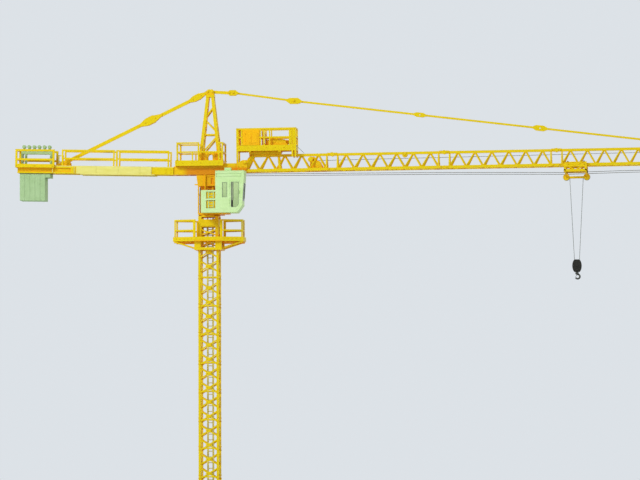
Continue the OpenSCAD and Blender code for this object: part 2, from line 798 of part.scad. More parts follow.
module counter_tie() color(yellow)
    tie([tower_x - tie_top_x, 0, tie_top_z], counter_tie_low, 3.4, 4.3, [[0.075, 15, 6.5], [0.397, 19, 8]]);

// Jib: its own frame starts at the foot pins and runs along +X

jib_x = frame_front + 0.5;
jib_z = frame_z + 3.5;
root_bays = 5;
full_bays = 6;
full_n = 3;
end_bays = 4;
root_l = root_bays * bay;
full_l = full_bays * bay;
end_l = end_bays * bay;
end_x = root_l + joint_l + full_n * (full_l + joint_l);
jib_l = end_x + end_l;

// Start of each jib section and the number of its bays
sections_x = [[0, root_bays], for (i = [0 : full_n - 1])
    [root_l + joint_l + i * (full_l + joint_l), full_bays], [end_x, end_bays]];

module on_jib() {
    translate([jib_x, 0, jib_z]) rotate([0, -jib_slope, 0]) children();
}

function from_jib(x, y, z) = [jib_x + x * cos(jib_slope) - z * sin(jib_slope),
    y, jib_z + x * sin(jib_slope) + z * cos(jib_slope)];

chord_top = jib_h + top_chord_t / 2;
chord_foot = bottom_chord_t / 2;
chord_in = jib_w / 2 - chord_foot;
tie_rise = 2.5;
guide_x = jib_l - 15;

module jib_top_chord() color(yellow) on_jib() {
    t = top_chord_t;
    box([bay / 2 - 2, -t / 2, jib_h - t / 2], [jib_l - bay / 2 + 2, t / 2, chord_top]);
    for (s = sections_x) if (s[0] > 0) {
        x = s[0] - joint_l / 2;
        pin([x, 0, jib_h + 0.2], 4.2, -t / 2 - 0.8, t / 2 + 0.8);
        box([x - 5, -t / 2 - 0.5, jib_h - t / 2], [x + 5, t / 2 + 0.5, chord_top + 0.5]);
    }
    box([guide_x, -0.9, jib_h - 4.4], [guide_x + 3, 0.9, jib_h - t / 2 + eps]);
    lug_z = chord_top + tie_rise;
    box([tie_lx - 5, -lug_y - lug_t, chord_top - 0.8], [tie_lx + 5, lug_y + lug_t, chord_top + eps]);
    both_sides() plate(lug_y, lug_y + lug_t)
        polygon([[tie_lx - 5, chord_top], [tie_lx - 2, lug_z + 2],
            [tie_lx + 2, lug_z + 2], [tie_lx + 5, chord_top]]);
    lug_pin([tie_lx, 0, lug_z]);
}

module jib_bottom_chords() color(yellow) on_jib() both_sides()
    box([-0.3, chord_in, -chord_foot], [jib_l, jib_w / 2 + chord_foot, chord_foot]);

// Braces of one inclined side: a zigzag in each section, with a post at each end of a section.
// The first brace is a broad one, and a post stands under the winch platform
root_post_x = 36.5;

module jib_side() {
    low = [0, jib_w / 2, 0];
    high = [0, 0, jib_h];
    post_t = jib_brace_t + 0.2;
    bar(low + [1.2, 0, 0], high + [bay / 2 + 1.2, 0, 0], 4);
    bar(low + [root_post_x + 1, 0, 0], high + [root_post_x - 1, 0, 0], 2);
    for (s = sections_x) {
        for (i = [0 : s[1] - 1]) {
            x = s[0] + i * bay;
            bar(low + [x, 0, 0], high + [x + bay / 2, 0, 0], jib_brace_t);
            bar(high + [x + bay / 2, 0, 0], low + [x + bay, 0, 0], jib_brace_t);
        }
        ends = [if (s[0] > 0) s[0], if (s[0] + s[1] * bay < jib_l - 1) s[0] + s[1] * bay];
        for (x = ends) bar(low + [x, 0, 0], high + [x, 0, 0], post_t);
    }
}

// The braces end in the faces of the chords
module jib_side_trim() {
    difference() {
        children();
        box([-5, -top_chord_t, jib_h - top_chord_t / 2], [jib_l + 5, top_chord_t / 2 + 0.5, jib_h + 5]);
        box([-5, -5, -5], [jib_l + 5, jib_w, chord_foot]);
        box([-5, -5, -5], [jib_l + 5, 0.05, jib_h + 5]);
        box([-5, -5, -5], [0, jib_w, jib_h + 5]);
        box([-5, jib_w / 2 + chord_foot, -5], [jib_l + 5, jib_w, jib_h]);
        box([jib_l, -5, -5], [jib_l + 5, jib_w, jib_h + 5]);
    }
}

module jib_back() color(yellow) on_jib() jib_side_trim() jib_side();
module jib_front() color(yellow) on_jib() mirror([0, 1, 0]) jib_side_trim() jib_side();

module jib_bottom_lacing() color(yellow) on_jib() {
    t = jib_brace_t;
    intersection() {
        for (s = sections_x, i = [0 : s[1] - 1]) {
            x = s[0] + i * bay;
            bar([x + 0.5, -chord_in - 1, 0], [x + bay - 0.5, chord_in + 1, 0], t);
        }
        box([0, -chord_in, -t], [jib_l, chord_in, t]);
    }
    for (s = sections_x, x = [s[0] + 0.8, s[0] + s[1] * bay - 0.8])
        box([x - 0.75, -chord_in, -0.75], [x + 0.75, chord_in, 0.75]);
}

// Heights of the two hoist ropes at the jib's root and at its tip
ropes_z = [[-3.9, -6], [-5.8, -7.8]];

module jib_head() color(yellow) on_jib() {
    w = jib_w / 2 + chord_foot;
    box([jib_l, -w, -2.5], [jib_l + 2, w, 2.5]);
    both_sides() plate(2.4, 3.6)
        polygon([[jib_l + 1, -2.4], [jib_l + 9, -1.6], [jib_l + 9, 1.6], [jib_l + 1, 2.4]]);
    pin([jib_l + 6, 0, 0], 1.6, -4, 4);
    pin([jib_l + 6, 0, 0], 6, -1, 1);
    box([jib_l + 1, -1, ropes_z[1][1] - 0.9], [jib_l + 3, 1, -2.4]);
}

tie_lx = end_x + bay / 2;
tie_end = from_jib(tie_lx, 0, chord_top + tie_rise);
tie_link = [24.4, 0, tie_top_z - 1.1];
link_eye = 3.6;
link_l = 4;
tie_joint = 0.1355;
tie_sag = 1.1;
tie_mid = tie_link + tie_joint * (tie_end - tie_link) - [0, 0, tie_sag];

// The link by the tower head is a pair of straps outside the tie's eye
module jib_tie() color(yellow) {
    y = tie_t / 2 + 0.1;
    tie(tie_link, tie_mid, 1.9, link_eye);
    tie(tie_mid, tie_end, 1.9, 3.6, [[0.325, 17, 4.5], [0.634, 19, 5.6]]);
    tie([tower_x + tie_top_x, 0, tie_top_z], tie_link - [link_l, 0, 0], 3, link_eye);
    both_sides() {
        translate([tie_link.x, 0, tie_link.z]) plate(y - eps, y + 0.8)
            polygon([[-6, 0], [-4, 2.8], [2, 2.8], [5.8, 0], [2, -2.8], [-4, -2.8]]);
        translate([tie_mid.x, 0, tie_mid.z]) plate(y - eps, y + 0.5)
            polygon([[-9.5, 1], [-4, 3], [4, 3], [9.5, -1], [4, -3], [-4, -3]]);
    }
    for (p = [tie_link, tie_mid, tie_link - [link_l, 0, 0]]) pin(p, pin_d, -y - 0.8, y + 0.8);
}

winch_x = root_l - 9;
winch_drum_z = 5.4;
winch_drum_d = 7.2;

module jib_ropes() color(grey) on_jib() {
    for (z = ropes_z) rod([-2, 0, z[0]], [jib_l + 1, 0, z[1]], rope_d, 6);
    rod([winch_x + 0.4, 0, 9.3], [guide_x, 0, jib_h - 3.2], rope_d, 6);
}

// Small winch on cross bars between the bottom chords, in a slanting cover with a high fin
module trolley_winch() color(yellow) on_jib() {
    z = chord_foot;
    box([winch_x - 10, -4, z], [winch_x + 6, 4, z + 1.2]);
    for (x = [winch_x - 4.5, winch_x + 3]) box([x, -jib_w / 2, z], [x + 2, jib_w / 2, z + 0.8]);
    pin([winch_x, 0, winch_drum_z], winch_drum_d, -2.8, 2.8);
    translate([winch_x, 0, 0]) {
        both_sides() plate(2.8 - eps, 3.6) polygon([[-5, z], [-3, 7.5], [3, 7.5], [5, z]]);
        plate(-2.8, 2.8) polygon([[-6.5, z], [-6.5, 8.4], [-2, 8.4], [6.6, z]]);
        plate(-0.8, 0.8) polygon([[-7, z], [-8, 11.4], [-6, 13.2], [-3.4, 13.2], [7, z]]);
    }
}

// Winch platform on the first jib section

plat_x0 = -5.7;
plat_x1 = 54.2;
plat_low = chord_top + 3.1;
plat_z = plat_low + 5.7;
plat_w = 20;
plat_y = plat_w / 2;
plat_rail_h = 17.2;
leg_w = 1.7;

module winch_platform() color(yellow) on_jib() {
    mid = (plat_x0 + plat_x1) / 2;
    wall = 1.4;
    difference() {
        box([plat_x0, -plat_y, plat_low], [plat_x1, plat_y, plat_z]);
        for (x = [plat_x0 + wall, mid + wall / 2])
            box([x, -plat_y + wall, plat_low - 1],
                [x + (plat_x1 - plat_x0 - 3 * wall) / 2, plat_y - wall, plat_z - wall]);
    }
    box([bay / 2 - 2, -3.4, chord_top], [root_post_x + 2, 3.4, plat_low + eps]);
    for (x = [bay / 2 - 2, root_post_x - 0.5])
        box([x, -plat_y + 0.5, plat_low - 1.2], [x + 2.5, plat_y - 0.5, plat_low + eps]);
    for (x = [plat_x0, plat_x1 - leg_w - 3, plat_x1 - leg_w]) both_sides() {
        leg_z = x < 0 ? front_leg_z : chord_top - 3;
        box([x, plat_y - leg_w, leg_z], [x + leg_w, plat_y, plat_low + eps]);
    }
    box([plat_x1 - leg_w, -plat_y, chord_top], [plat_x1, plat_y, chord_top + 1.4]);
}

// The front legs end just over the slewing platform's front deck
front_leg_z = deck_z + front_deck_t + 0.2 - jib_z - plat_x0 * sin(jib_slope);

module winch_guard() color(yellow) on_jib() {
    y = plat_y - rail_t / 2;
    h = plat_rail_h;
    wide = 2.4;
    posts = [[plat_x0, wide], [18, 1.2], [21.4, 1.6], [27.2, 1.2], [plat_x1 - 7.2, 3],
        [plat_x1 - 3.6, 3.6]];
    both_sides() {
        rail_panel(plat_x0, plat_x1, plat_z, h, 2, y);
        for (p = posts) box([p[0], y - rail_t / 2, plat_z], [p[0] + p[1], y + rail_t / 2, plat_z + h]);
    }
    for (x = [plat_x0 + rail_t / 2, plat_x1 - rail_t / 2])
        end_panel(x, -plat_y + rail_t, plat_y - rail_t, plat_z, h);
}

// Switch cabinet with two framed doors on each side
module winch_cabinet() color(orange) on_jib() {
    size = [16, 11, 17];
    x0 = 1.4;
    door = 6;
    difference() {
        box([x0, -size.y / 2, plat_z], [x0 + size.x, size.y / 2, plat_z + size.z]);
        for (s = [-1, 1], x = [x0 + 1.2, x0 + 2.2 + door])
            box([x, s * size.y / 2 - 0.5, plat_z + 2],
                [x + door, s * size.y / 2 + 0.5, plat_z + size.z - 2]);
    }
}

hoist_x = 31.5;

// Hoist winch: bed, drum with flanges, gearbox and a sloping hood
module hoist_winch() color(yellow) on_jib() {
    z = plat_z;
    drum_z = z + 4.6;
    box([hoist_x - 9, -6.5, z], [hoist_x + 13.5, 6.5, z + 1.6]);
    pin([hoist_x, 0, drum_z], 6.4, -5, 5);
    for (s = [-1, 1]) {
        pin([hoist_x, 0, drum_z], 8.6, s * 4.6 - 0.5, s * 4.6 + 0.5);
        plate(s * 5.6 - 0.5, s * 5.6 + 0.5)
            polygon([[hoist_x - 8.7, z], [hoist_x - 6.7, z + 5.6],
                [hoist_x + 11.3, z + 5.6], [hoist_x + 13.3, z]]);
    }
    plate(-5.2, 5.2)
        polygon([[hoist_x + 5, z], [hoist_x + 5, z + 6], [hoist_x + 9, z + 6], [hoist_x + 11, z]]);
}

// Trolley, in the jib's frame with x from the trolley's middle

trolley_lx = (trolley_x - jib_x) / cos(jib_slope);
side_y = jib_w / 2 + chord_foot + 1.6;
side_t = 1.6;

module on_trolley() {
    on_jib() translate([trolley_lx, 0, 0]) children();
}

sheave_z = -12;
sheave_x = 10.1;
sheave_d = 6.2;
cheek_d = 7;
cheek_y = 1.5;
cheek_t = 1.2;
carrier_z = -7.6;
plate_low = -2.7;
plate_high = 4.6;

// Side frames with a plate, posts, a low rail and a V brace, and arms down to the sheaves
module trolley_frame() color(yellow) on_trolley() {
    l = trolley_l / 2;
    post = 2.2;
    rail = 2.4;
    mid_y = side_y + side_t / 2;
    both_sides() {
        plate(side_y, side_y + side_t) polygon([[-l, plate_low], [l, plate_low], [l, plate_high],
            [-l + 2.2, plate_high], [-l, plate_high - 2.4]]);
        for (s = [-1, 1]) {
            x = s * (l - post / 2);
            box([x - post / 2, side_y, carrier_z], [x + post / 2, side_y + side_t, 0]);
            bar([s * 6.5, mid_y, plate_low + 0.3], [0, mid_y, carrier_z + 1.6], side_t - 0.2);
            bar([x, mid_y, carrier_z + 0.9], [s * sheave_x, cheek_y + 0.6, sheave_z + 0.4], side_t);
            pin([s * sheave_x, 0, sheave_z], cheek_d, cheek_y, cheek_y + cheek_t);
        }
        box([-l + 1, side_y, carrier_z], [l - 1, side_y + side_t, carrier_z + rail]);
        box([-sheave_x, cheek_y, sheave_z + 0.6], [sheave_x, cheek_y + cheek_t, sheave_z + 2.7]);
    }
    for (x = [-l, l - 2.4]) box([x, -side_y - eps, -2.9], [x + 2.4, side_y + eps, -1.7]);
    for (x = [-sheave_x, sheave_x]) pin([x, 0, sheave_z], 1.4, -cheek_y - eps, cheek_y + eps);
}

// Wheels on the bottom chords, and the two rope sheaves between their cheeks
wheel_d = 2;

module trolley_wheels() color(dark) on_trolley() {
    wheel_z = chord_foot + 0.15 + wheel_d / 2;
    both_sides() for (x = [-8, 8]) pin([x, 0, wheel_z], wheel_d, side_y - 1.6, side_y);
    for (x = [-sheave_x, sheave_x]) difference() {
        pin([x, 0, sheave_z], sheave_d, -cheek_y + 0.1, cheek_y - 0.1);
        pin([x, 0, sheave_z], 1.4 + 2 * bore_gap, -cheek_y, cheek_y);
    }
}

trolley_pos = from_jib(trolley_lx, 0, 0);
sheave_mid = trolley_pos.z + sheave_z;
fall_x = sheave_x - (sheave_d + rope_d) / 2;

module hoist_ropes() color(grey)
    for (s = [-1, 1]) {
        high = [trolley_pos.x + s * fall_x, 0, sheave_mid];
        rod(high, [trolley_pos.x + s * 2.5, 0, hook_z], rope_d, 6);
    }

block_h = 12.5;
hook_pin_d = 2;

module hook_block() color(dark) {
    translate([trolley_pos.x, 2.5, hook_z]) rotate([90, 0, 0]) difference() {
        linear_extrude(5) polygon([[-3.4, 0], [3.4, 0], [4.9, -5.5],
            [3.2, -block_h], [-3.2, -block_h], [-4.9, -5.5]]);
        translate([0, -block_h + 3.9, 2.5])
            rotate([90, 0, 0]) cylinder(h = 4, d = hook_pin_d + 2 * bore_gap);
    }
}

module hook() color(grey) {
    translate([trolley_pos.x, 0, hook_z - block_h]) {
        translate([0, 0, -1.5]) cylinder(h = 5, d = hook_pin_d);
        translate([0, 0, -1.6]) cylinder(h = 1.2, d = 3.4);
        translate([0.6, 0, -4.4]) rotate([90, 0, 0]) rotate([0, 0, -150])
            rotate_extrude(angle = 260) translate([2.2, 0]) circle(d = 1.7);
    }
}

base_cross();
base_ballast();
mast_legs();
mast_front();
mast_back();
mast_left();
mast_right();
mast_ladder();
mast_head();
service_platform();
service_rails();
slew_ring();
slew_column();
column_ladder();
cab();
cab_windows();
cab_gallery();
slew_frame();
slew_platform();
slew_rails();
tower_head();
counter_beams();
counter_deck();
counter_rails();
counter_boards();
counterweights();
counterweight_rack();
counterweight_guard();
counter_tie();
counter_anchor();
jib_top_chord();
jib_bottom_chords();
jib_front();
jib_back();
jib_bottom_lacing();
jib_head();
jib_tie();
jib_ropes();
trolley_winch();
winch_platform();
winch_guard();
winch_cabinet();
hoist_winch();
trolley_frame();
trolley_wheels();
hoist_ropes();
hook_block();
hook();
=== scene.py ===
import json
import math
from itertools import product

import bmesh
import bpy
from mathutils import Matrix, Vector


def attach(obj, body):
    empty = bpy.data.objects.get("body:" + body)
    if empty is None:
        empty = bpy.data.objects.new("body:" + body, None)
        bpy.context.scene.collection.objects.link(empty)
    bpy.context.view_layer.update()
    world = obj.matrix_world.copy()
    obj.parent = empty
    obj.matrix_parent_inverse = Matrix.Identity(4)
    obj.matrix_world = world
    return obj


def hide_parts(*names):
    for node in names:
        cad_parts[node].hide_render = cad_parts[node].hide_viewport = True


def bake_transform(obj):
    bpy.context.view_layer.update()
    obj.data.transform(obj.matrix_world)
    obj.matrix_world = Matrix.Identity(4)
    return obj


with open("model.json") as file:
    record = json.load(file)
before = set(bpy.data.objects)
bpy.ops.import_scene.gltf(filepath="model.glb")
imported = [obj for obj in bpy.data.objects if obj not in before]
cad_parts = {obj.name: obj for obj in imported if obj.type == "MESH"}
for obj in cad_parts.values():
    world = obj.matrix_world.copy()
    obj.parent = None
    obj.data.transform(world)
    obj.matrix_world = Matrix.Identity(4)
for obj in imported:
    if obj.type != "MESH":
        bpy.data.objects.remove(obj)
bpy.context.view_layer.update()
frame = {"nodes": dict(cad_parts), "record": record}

# Scale model of a tower crane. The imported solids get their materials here, and the pieces add the
# detail that is too fine for them. Pieces are written in millimetres; Blender's unit is the metre.
MM = 0.001
scene = bpy.context.scene


# Materials

def srgb(r, g, b):
    """A colour as seen on screen, 0 to 255, in linear light."""
    out = []
    for v in (r, g, b):
        v /= 255
        out.append(v / 12.92 if v <= 0.04045 else ((v + 0.055) / 1.055) ** 2.4)
    return (*out, 1)


def brighter(colour, factor, plus=0):
    """A screen colour made brighter, up to white."""
    return tuple(min(255, c * factor + plus) for c in colour)


class Nodes:
    """Adds nodes to a material's or the world's tree."""

    def __init__(self, tree):
        self.nodes, self.links = tree.nodes, tree.links

    def link(self, value, socket):
        """Sets a number or colour on a socket, or links another socket to it."""
        if isinstance(value, bpy.types.NodeSocket):
            self.links.new(value, socket)
        else:
            socket.default_value = value

    def node(self, kind, inputs=None, **settings):
        """A new node. inputs gives its sockets' values or links, by name or number."""
        node = self.nodes.new("ShaderNode" + kind)
        for key, value in settings.items():
            setattr(node, key, value)
        for key, value in (inputs or {}).items():
            self.link(value, node.inputs[key])
        return node

    def math(self, kind, a, b):
        return self.node("Math", {0: a, 1: b}, operation=kind).outputs[0]

    def seen_directly(self):
        """1 for rays from the camera, and those that gloss and glass send on."""
        path = self.node("LightPath").outputs
        either = self.math("MAXIMUM", path["Is Camera Ray"], path["Is Glossy Ray"])
        return self.math("MAXIMUM", either, path["Is Transmission Ray"])


class Tree(Nodes):
    """A material's nodes. Patterns lie in the crane's coordinates, in metres."""

    def __init__(self, name):
        self.material = bpy.data.materials.new(name)
        self.material.use_nodes = True
        super().__init__(self.material.node_tree)
        self.shader = self.nodes["Principled BSDF"]
        self.place = self.node("TexCoord").outputs["Object"]

    def noise(self, scale, detail=2, rough=0.5, stretch=None):
        place = self.place
        if stretch:
            place = self.node("Mapping", {"Scale": stretch, "Vector": place}).outputs["Vector"]
        return self.node("TexNoise", {"Scale": scale, "Detail": detail, "Roughness": rough,
                                      "Vector": place}).outputs["Fac"]

    def ramp(self, value, low, high, to_low=0.0, to_high=1.0):
        """to_low where value is low, to_high where it is high, and even steps between."""
        return self.node("MapRange", {"From Min": low, "From Max": high, "To Min": to_low,
                                      "To Max": to_high, "Value": value}).outputs["Result"]

    def times(self, a, b):
        return self.math("MULTIPLY", a, b)

    def mix(self, amount, a, b):
        """Colour a where amount is 0, b where it is 1."""
        a_socket, b_socket, colour_output = 6, 7, 2
        node = self.node("Mix", data_type="RGBA")
        for value, key in ((amount, "Factor"), (a, a_socket), (b, b_socket)):
            self.link(value, node.inputs[key])
        return node.outputs[colour_output]

    def cover(self, colour, mask, strength, over):
        """Lays a screen colour over another where mask is 1, at a strength up to 1."""
        return self.mix(self.times(mask, strength), colour, srgb(*over))

    def axis(self, vector, name):
        return self.node("SeparateXYZ", {0: vector}).outputs[name]

    def normal(self):
        return self.node("NewGeometry").outputs["Normal"]

    def facing_down(self):
        """1 where the surface looks down, 0 where it looks up or sideways."""
        return self.ramp(self.axis(self.normal(), "Z"), -0.2, -0.8)

    def tread(self):
        """Raised chequers on surfaces that look up, as on a deck plate."""
        turned = self.node("Mapping", {"Rotation": (0, 0, math.radians(45)), "Vector": self.place})
        chequer = self.node("TexChecker", {"Scale": 900, "Vector": turned.outputs["Vector"]})
        facing_up = self.ramp(self.axis(self.normal(), "Z"), 0.8, 0.95)
        return self.times(facing_up, chequer.outputs["Fac"])

    def along(self, axis, start, end):
        """0 before start and 1 after end, in millimetres along an axis of the crane."""
        return self.ramp(self.axis(self.place, axis), start * MM, end * MM)

    def crevice(self, reach):
        """1 in corners and narrow gaps, 0 on open faces."""
        node = self.node("AmbientOcclusion", {"Distance": reach}, samples=6)
        return self.ramp(node.outputs["AO"], 0.85, 0.3)

    def rounded(self, radius):
        """The surface's normal, as if its edges were rounded."""
        return self.node("Bevel", {"Radius": radius}, samples=4).outputs["Normal"]

    def edge(self, radius):
        """1 along sharp edges, 0 on flat faces."""
        dot = self.node("VectorMath", {0: self.rounded(radius), 1: self.normal()},
                        operation="DOT_PRODUCT")
        return self.ramp(dot.outputs["Value"], 0.98, 0.8)

    def surface(self, colour, roughness, specular=0.5):
        self.link(colour, self.shader.inputs["Base Color"])
        self.link(roughness, self.shader.inputs["Roughness"])
        self.shader.inputs["Specular IOR Level"].default_value = specular

    def bump(self, height, distance, strength, radius):
        node = self.node("Bump", {"Distance": distance, "Strength": strength, "Height": height,
                                  "Normal": self.rounded(radius)})
        self.link(node.outputs["Normal"], self.shader.inputs["Normal"])


DUST = (214, 200, 90)


def painted(name, base, shade, worn, under, tread=False, deck_shadow=None):
    """Sprayed paint on cast metal: an uneven coat, thin along the edges.

    shade is painted shade in the corners, worn its colour on the edges, and under painted shade on
    faces that look down.
    The last colour, where given, is painted shadow of the deck on the slewing frame below it, from
    the counter-jib's end on.
    """
    t = Tree(name)
    colour = t.mix(t.ramp(t.noise(220, 3), 0.3, 0.7), srgb(*base), srgb(*brighter(base, 1.03)))
    # Painted shadow of the slewing platform's deck on the frame below it
    if deck_shadow:
        deck_shadow_mask = t.times(t.along("X", -26, -20), t.along("Z", 344.5, 342.5))
        colour = t.mix(deck_shadow_mask, colour, srgb(*deck_shadow))
    # Painted shade: orange on faces that look down, and in corners and narrow gaps
    colour = t.cover(colour, t.facing_down(), 0.75, under)
    colour = t.cover(colour, t.crevice(12 * MM), 0.62, shade)
    flake = t.ramp(t.noise(900, 4, 0.7), 0.5, 0.66)
    colour = t.cover(colour, t.times(t.edge(0.25 * MM), flake), 0.45, worn)
    colour = t.mix(t.ramp(t.noise(60, 4, 0.6), 0.5, 0.8, 0, 0.06), colour, srgb(*DUST))
    t.surface(colour, t.ramp(t.noise(500, 3), 0.25, 0.75, 0.35, 0.52), 0.2)
    grain = t.math("ADD", t.times(t.noise(2600, 2), 0.5), t.noise(420, 2))
    if tread:
        grain = t.math("ADD", grain, t.times(t.tread(), 3.0))
    t.bump(grain, 0.06 * MM, 0.6, 0.25 * MM)
    return t.material


def moulded(name, base, shade, light, rough=0.5):
    """Moulded plastic with faint flow marks and specks."""
    t = Tree(name)
    flow = t.ramp(t.noise(70, 3, 0.5, (1, 1, 3)), 0.35, 0.65)
    colour = t.mix(flow, srgb(*base), srgb(*light))
    colour = t.cover(colour, t.crevice(3 * MM), 0.75, shade)
    specks = t.ramp(t.noise(1500, 3, 0.6), 0.66, 0.75, 0, 0.25)
    colour = t.mix(specks, colour, srgb(*shade))
    t.surface(colour, t.ramp(t.noise(300, 3), 0.3, 0.7, rough - 0.06, rough + 0.08), 0.4)
    t.bump(t.noise(2200, 3), 0.04 * MM, 0.7, 0.3 * MM)
    return t.material


def window_pane(name):
    """Moulded windows: pale at the sides and lighter towards their top; the leaning windscreen dark
    with painted shade, lighter towards its top.
    """
    t = Tree(name)
    side = t.mix(t.along("Z", 311, 327), srgb(168, 196, 136), srgb(188, 216, 152))
    # Painted shade: the windscreen near black low down, lighter towards its top
    screen = t.mix(t.along("Z", 318, 326), srgb(14, 20, 12), srgb(92, 112, 78))
    colour = t.mix(t.along("X", 34.9, 35.3), side, screen)
    smear = t.ramp(t.noise(160, 4, 0.6, (1, 1, 2)), 0.45, 0.75, 0, 0.2)
    colour = t.mix(smear, colour, srgb(206, 226, 178))
    t.surface(colour, t.ramp(t.noise(240, 3), 0.3, 0.7, 0.14, 0.26))
    t.bump(t.noise(90, 2), 0.03 * MM, 0.5, 0.2 * MM)
    return t.material


def cast(name, base, shade, light):
    """Cast weights: a coarse, pitted surface with paler edges."""
    t = Tree(name)
    blotch = t.noise(150, 5, 0.65)
    colour = t.mix(t.ramp(blotch, 0.35, 0.68), srgb(*base), srgb(*light))
    pits = t.ramp(t.noise(1300, 3, 0.6), 0.6, 0.72)
    colour = t.cover(colour, pits, 0.45, shade)
    colour = t.cover(colour, t.crevice(4 * MM), 0.7, shade)
    colour = t.cover(colour, t.edge(0.4 * MM), 0.35, brighter(light, 1.08))
    t.surface(colour, t.ramp(blotch, 0.3, 0.7, 0.62, 0.82), 0.3)
    height = t.math("SUBTRACT", t.noise(500, 5, 0.6), t.times(pits, 0.5))
    t.bump(height, 0.25 * MM, 0.7, 0.5 * MM)
    return t.material


def metal(name, base, dark, rough, metallic):
    """Bare or blackened metal with fine scratches."""
    t = Tree(name)
    rub = t.ramp(t.noise(700, 4, 0.6), 0.35, 0.7)
    colour = t.mix(rub, srgb(*dark), srgb(*base))
    colour = t.cover(colour, t.edge(0.3 * MM), 0.5, brighter(base, 1.5, 18))
    scratches = t.noise(1800, 3, 0.6, (1, 1, 0.1))
    t.surface(colour, t.ramp(scratches, 0.3, 0.7, rough - 0.1, rough + 0.12))
    t.shader.inputs["Metallic"].default_value = metallic
    t.bump(t.noise(2500, 3), 0.04 * MM, 0.6, 0.3 * MM)
    return t.material


YELLOW, YELLOW_SHADE, YELLOW_WORN = (230, 204, 0), (255, 160, 0), (248, 234, 84)
WARM_SHADE, WARM_WORN = (255, 142, 0), (250, 222, 80)

yellow = painted("yellow_paint", YELLOW, YELLOW_SHADE, YELLOW_WORN, (246, 170, 0))
deck_yellow = painted("deck_paint", YELLOW, YELLOW_SHADE, YELLOW_WORN, (250, 168, 0), tread=True)
# An orange copy of the yellow paint, as painted shade on parts in the slewing platform's shadow
shaded_yellow = painted("frame_paint_shaded", (242, 186, 0), WARM_SHADE, WARM_WORN, (246, 156, 0))
# The slewing frame's paint, with painted shadow of the deck across its lower part
under_deck = painted("slewing_frame_paint", (236, 196, 0), WARM_SHADE, WARM_WORN, (232, 138, 0),
                     deck_shadow=(224, 144, 0))
# A copy of the yellow paint with weaker orange in its painted shade, so the trolley stays yellow
trolley_yellow = painted("trolley_paint", (236, 204, 0), (250, 172, 0), (248, 230, 84),
                         (246, 176, 0))
orange = painted("orange_paint", (250, 190, 0), (255, 160, 0), (252, 220, 84), (246, 156, 0))
cream = moulded("cream_plastic", (230, 222, 108), (188, 172, 60), (236, 230, 128))
white = moulded("white_plastic", (202, 238, 164), (140, 170, 106), (210, 242, 176))
glass = window_pane("window_plastic")
casting = cast("weight_casting", (164, 198, 142), (122, 150, 104), (176, 208, 156))
rope_grey = metal("rope_grey", (140, 144, 138), (92, 96, 92), 0.45, 0.6)
black = metal("black_metal", (46, 45, 38), (24, 24, 20), 0.42, 0.5)
steel = metal("hook_steel", (96, 98, 92), (58, 60, 56), 0.36, 0.9)
rubber = moulded("window_rubber", (150, 168, 138), (86, 98, 80), (166, 184, 152), 0.6)
# A dark grey-green, as painted shadow along the cab door's hinge edge
edge_shadow = moulded("door_edge_shadow", (128, 142, 112), (70, 80, 62), (142, 156, 124), 0.45)

# The record's slots and the materials that belong to each, with the usual one first
SLOTS = {
    "yellow_paint": (yellow, deck_yellow, shaded_yellow, under_deck, trolley_yellow),
    "orange_paint": (orange,),
    "cream_plastic": (cream,),
    "white_plastic": (white,),
    "window_plastic": (glass, rubber, edge_shadow),
    "weight_casting": (casting,),
    "rope_grey": (rope_grey,),
    "black_metal": (black,),
    "hook_steel": (steel,),
}
# The slewing frame, column, its ladder and the ring take orange copies of the yellow paint as
# painted shade; the decks take chequers
BY_NODE = {
    "slew_frame": under_deck, "slew_column": shaded_yellow, "column_ladder": shaded_yellow, "slew_ring": shaded_yellow,
    "slew_platform": deck_yellow, "service_platform": deck_yellow, "winch_platform": deck_yellow,
}
node_slots = {row["node"]: row["material_slot"] for row in frame["record"]["subparts"]}
for node_name, node_object in frame["nodes"].items():
    node_object.data.materials.clear()
    node_object.data.materials.append(BY_NODE.get(node_name, SLOTS[node_slots[node_name]][0]))


# Places, in millimetres. A place turns a piece's own coordinates into the crane's

def sloping(origin_x, origin_z, degrees):
    """A frame that leans up along the crane by some degrees."""
    c, s = math.cos(math.radians(degrees)), math.sin(math.radians(degrees))
    return lambda x, y, z: Vector((origin_x + x * c - z * s, y, origin_z + x * s + z * c))


# The jibs' origins and slopes are the source's
level = sloping(0, 0, 0)
on_jib = sloping(34, 340.45, 0.55)
on_counter = sloping(-34.5, 336.95, -1.2)

CAB_X, CAB_NEAR, CAB_FAR, CAB_Z = 9.4, -30.8, -11.3, 301.15
SCREEN_X, SCREEN_FOOT, SCREEN_TOP, SCREEN_OVERHANG = 27, 7.5, 38.3, 2
LEAN = math.atan2(SCREEN_OVERHANG, SCREEN_TOP - SCREEN_FOOT)
TROLLEY_X, HOOK_Z = 366.0, 250.0  # the trolley's middle and the hook block's top
TROLLEY_ALONG = 332.015  # the trolley's middle in the jib's frame
ANCHOR_X, ANCHOR_Z = -112.5, 10.7  # the tie's lower pin in the counter-jib's frame


def swapped(x, y, z):
    """Puts what is made for the mast's front and back on its other two sides."""
    return Vector((y, x, z))


def on_cab(x, y, z):
    return Vector((CAB_X + x, y, CAB_Z + z))


def on_screen(x, y, z):
    """x stands out from the glass, y runs across the cab, z up the leaning front."""
    return on_cab(SCREEN_X + x * math.cos(LEAN) + z * math.sin(LEAN), y,
                  SCREEN_FOOT - x * math.sin(LEAN) + z * math.cos(LEAN))


def on_trolley(x, y, z):
    return on_jib(TROLLEY_ALONG + x, y, z)


def on_block(x, y, z):
    return Vector((TROLLEY_X + x, y, HOOK_Z + z))


# How pieces are made

AXES = {"x": Vector((1, 0, 0)), "y": Vector((0, 1, 0)), "z": Vector((0, 0, 1))}
SIDES = (-1, 1)


def both(value):
    return (-value, value)


def sided(s, a, b):
    """Two distances from the middle as a range on side s, the lower first."""
    return tuple(sorted((s * a, s * b)))


def around(count):
    """Equal angles round a circle."""
    return [2 * math.pi * k / count for k in range(count)]


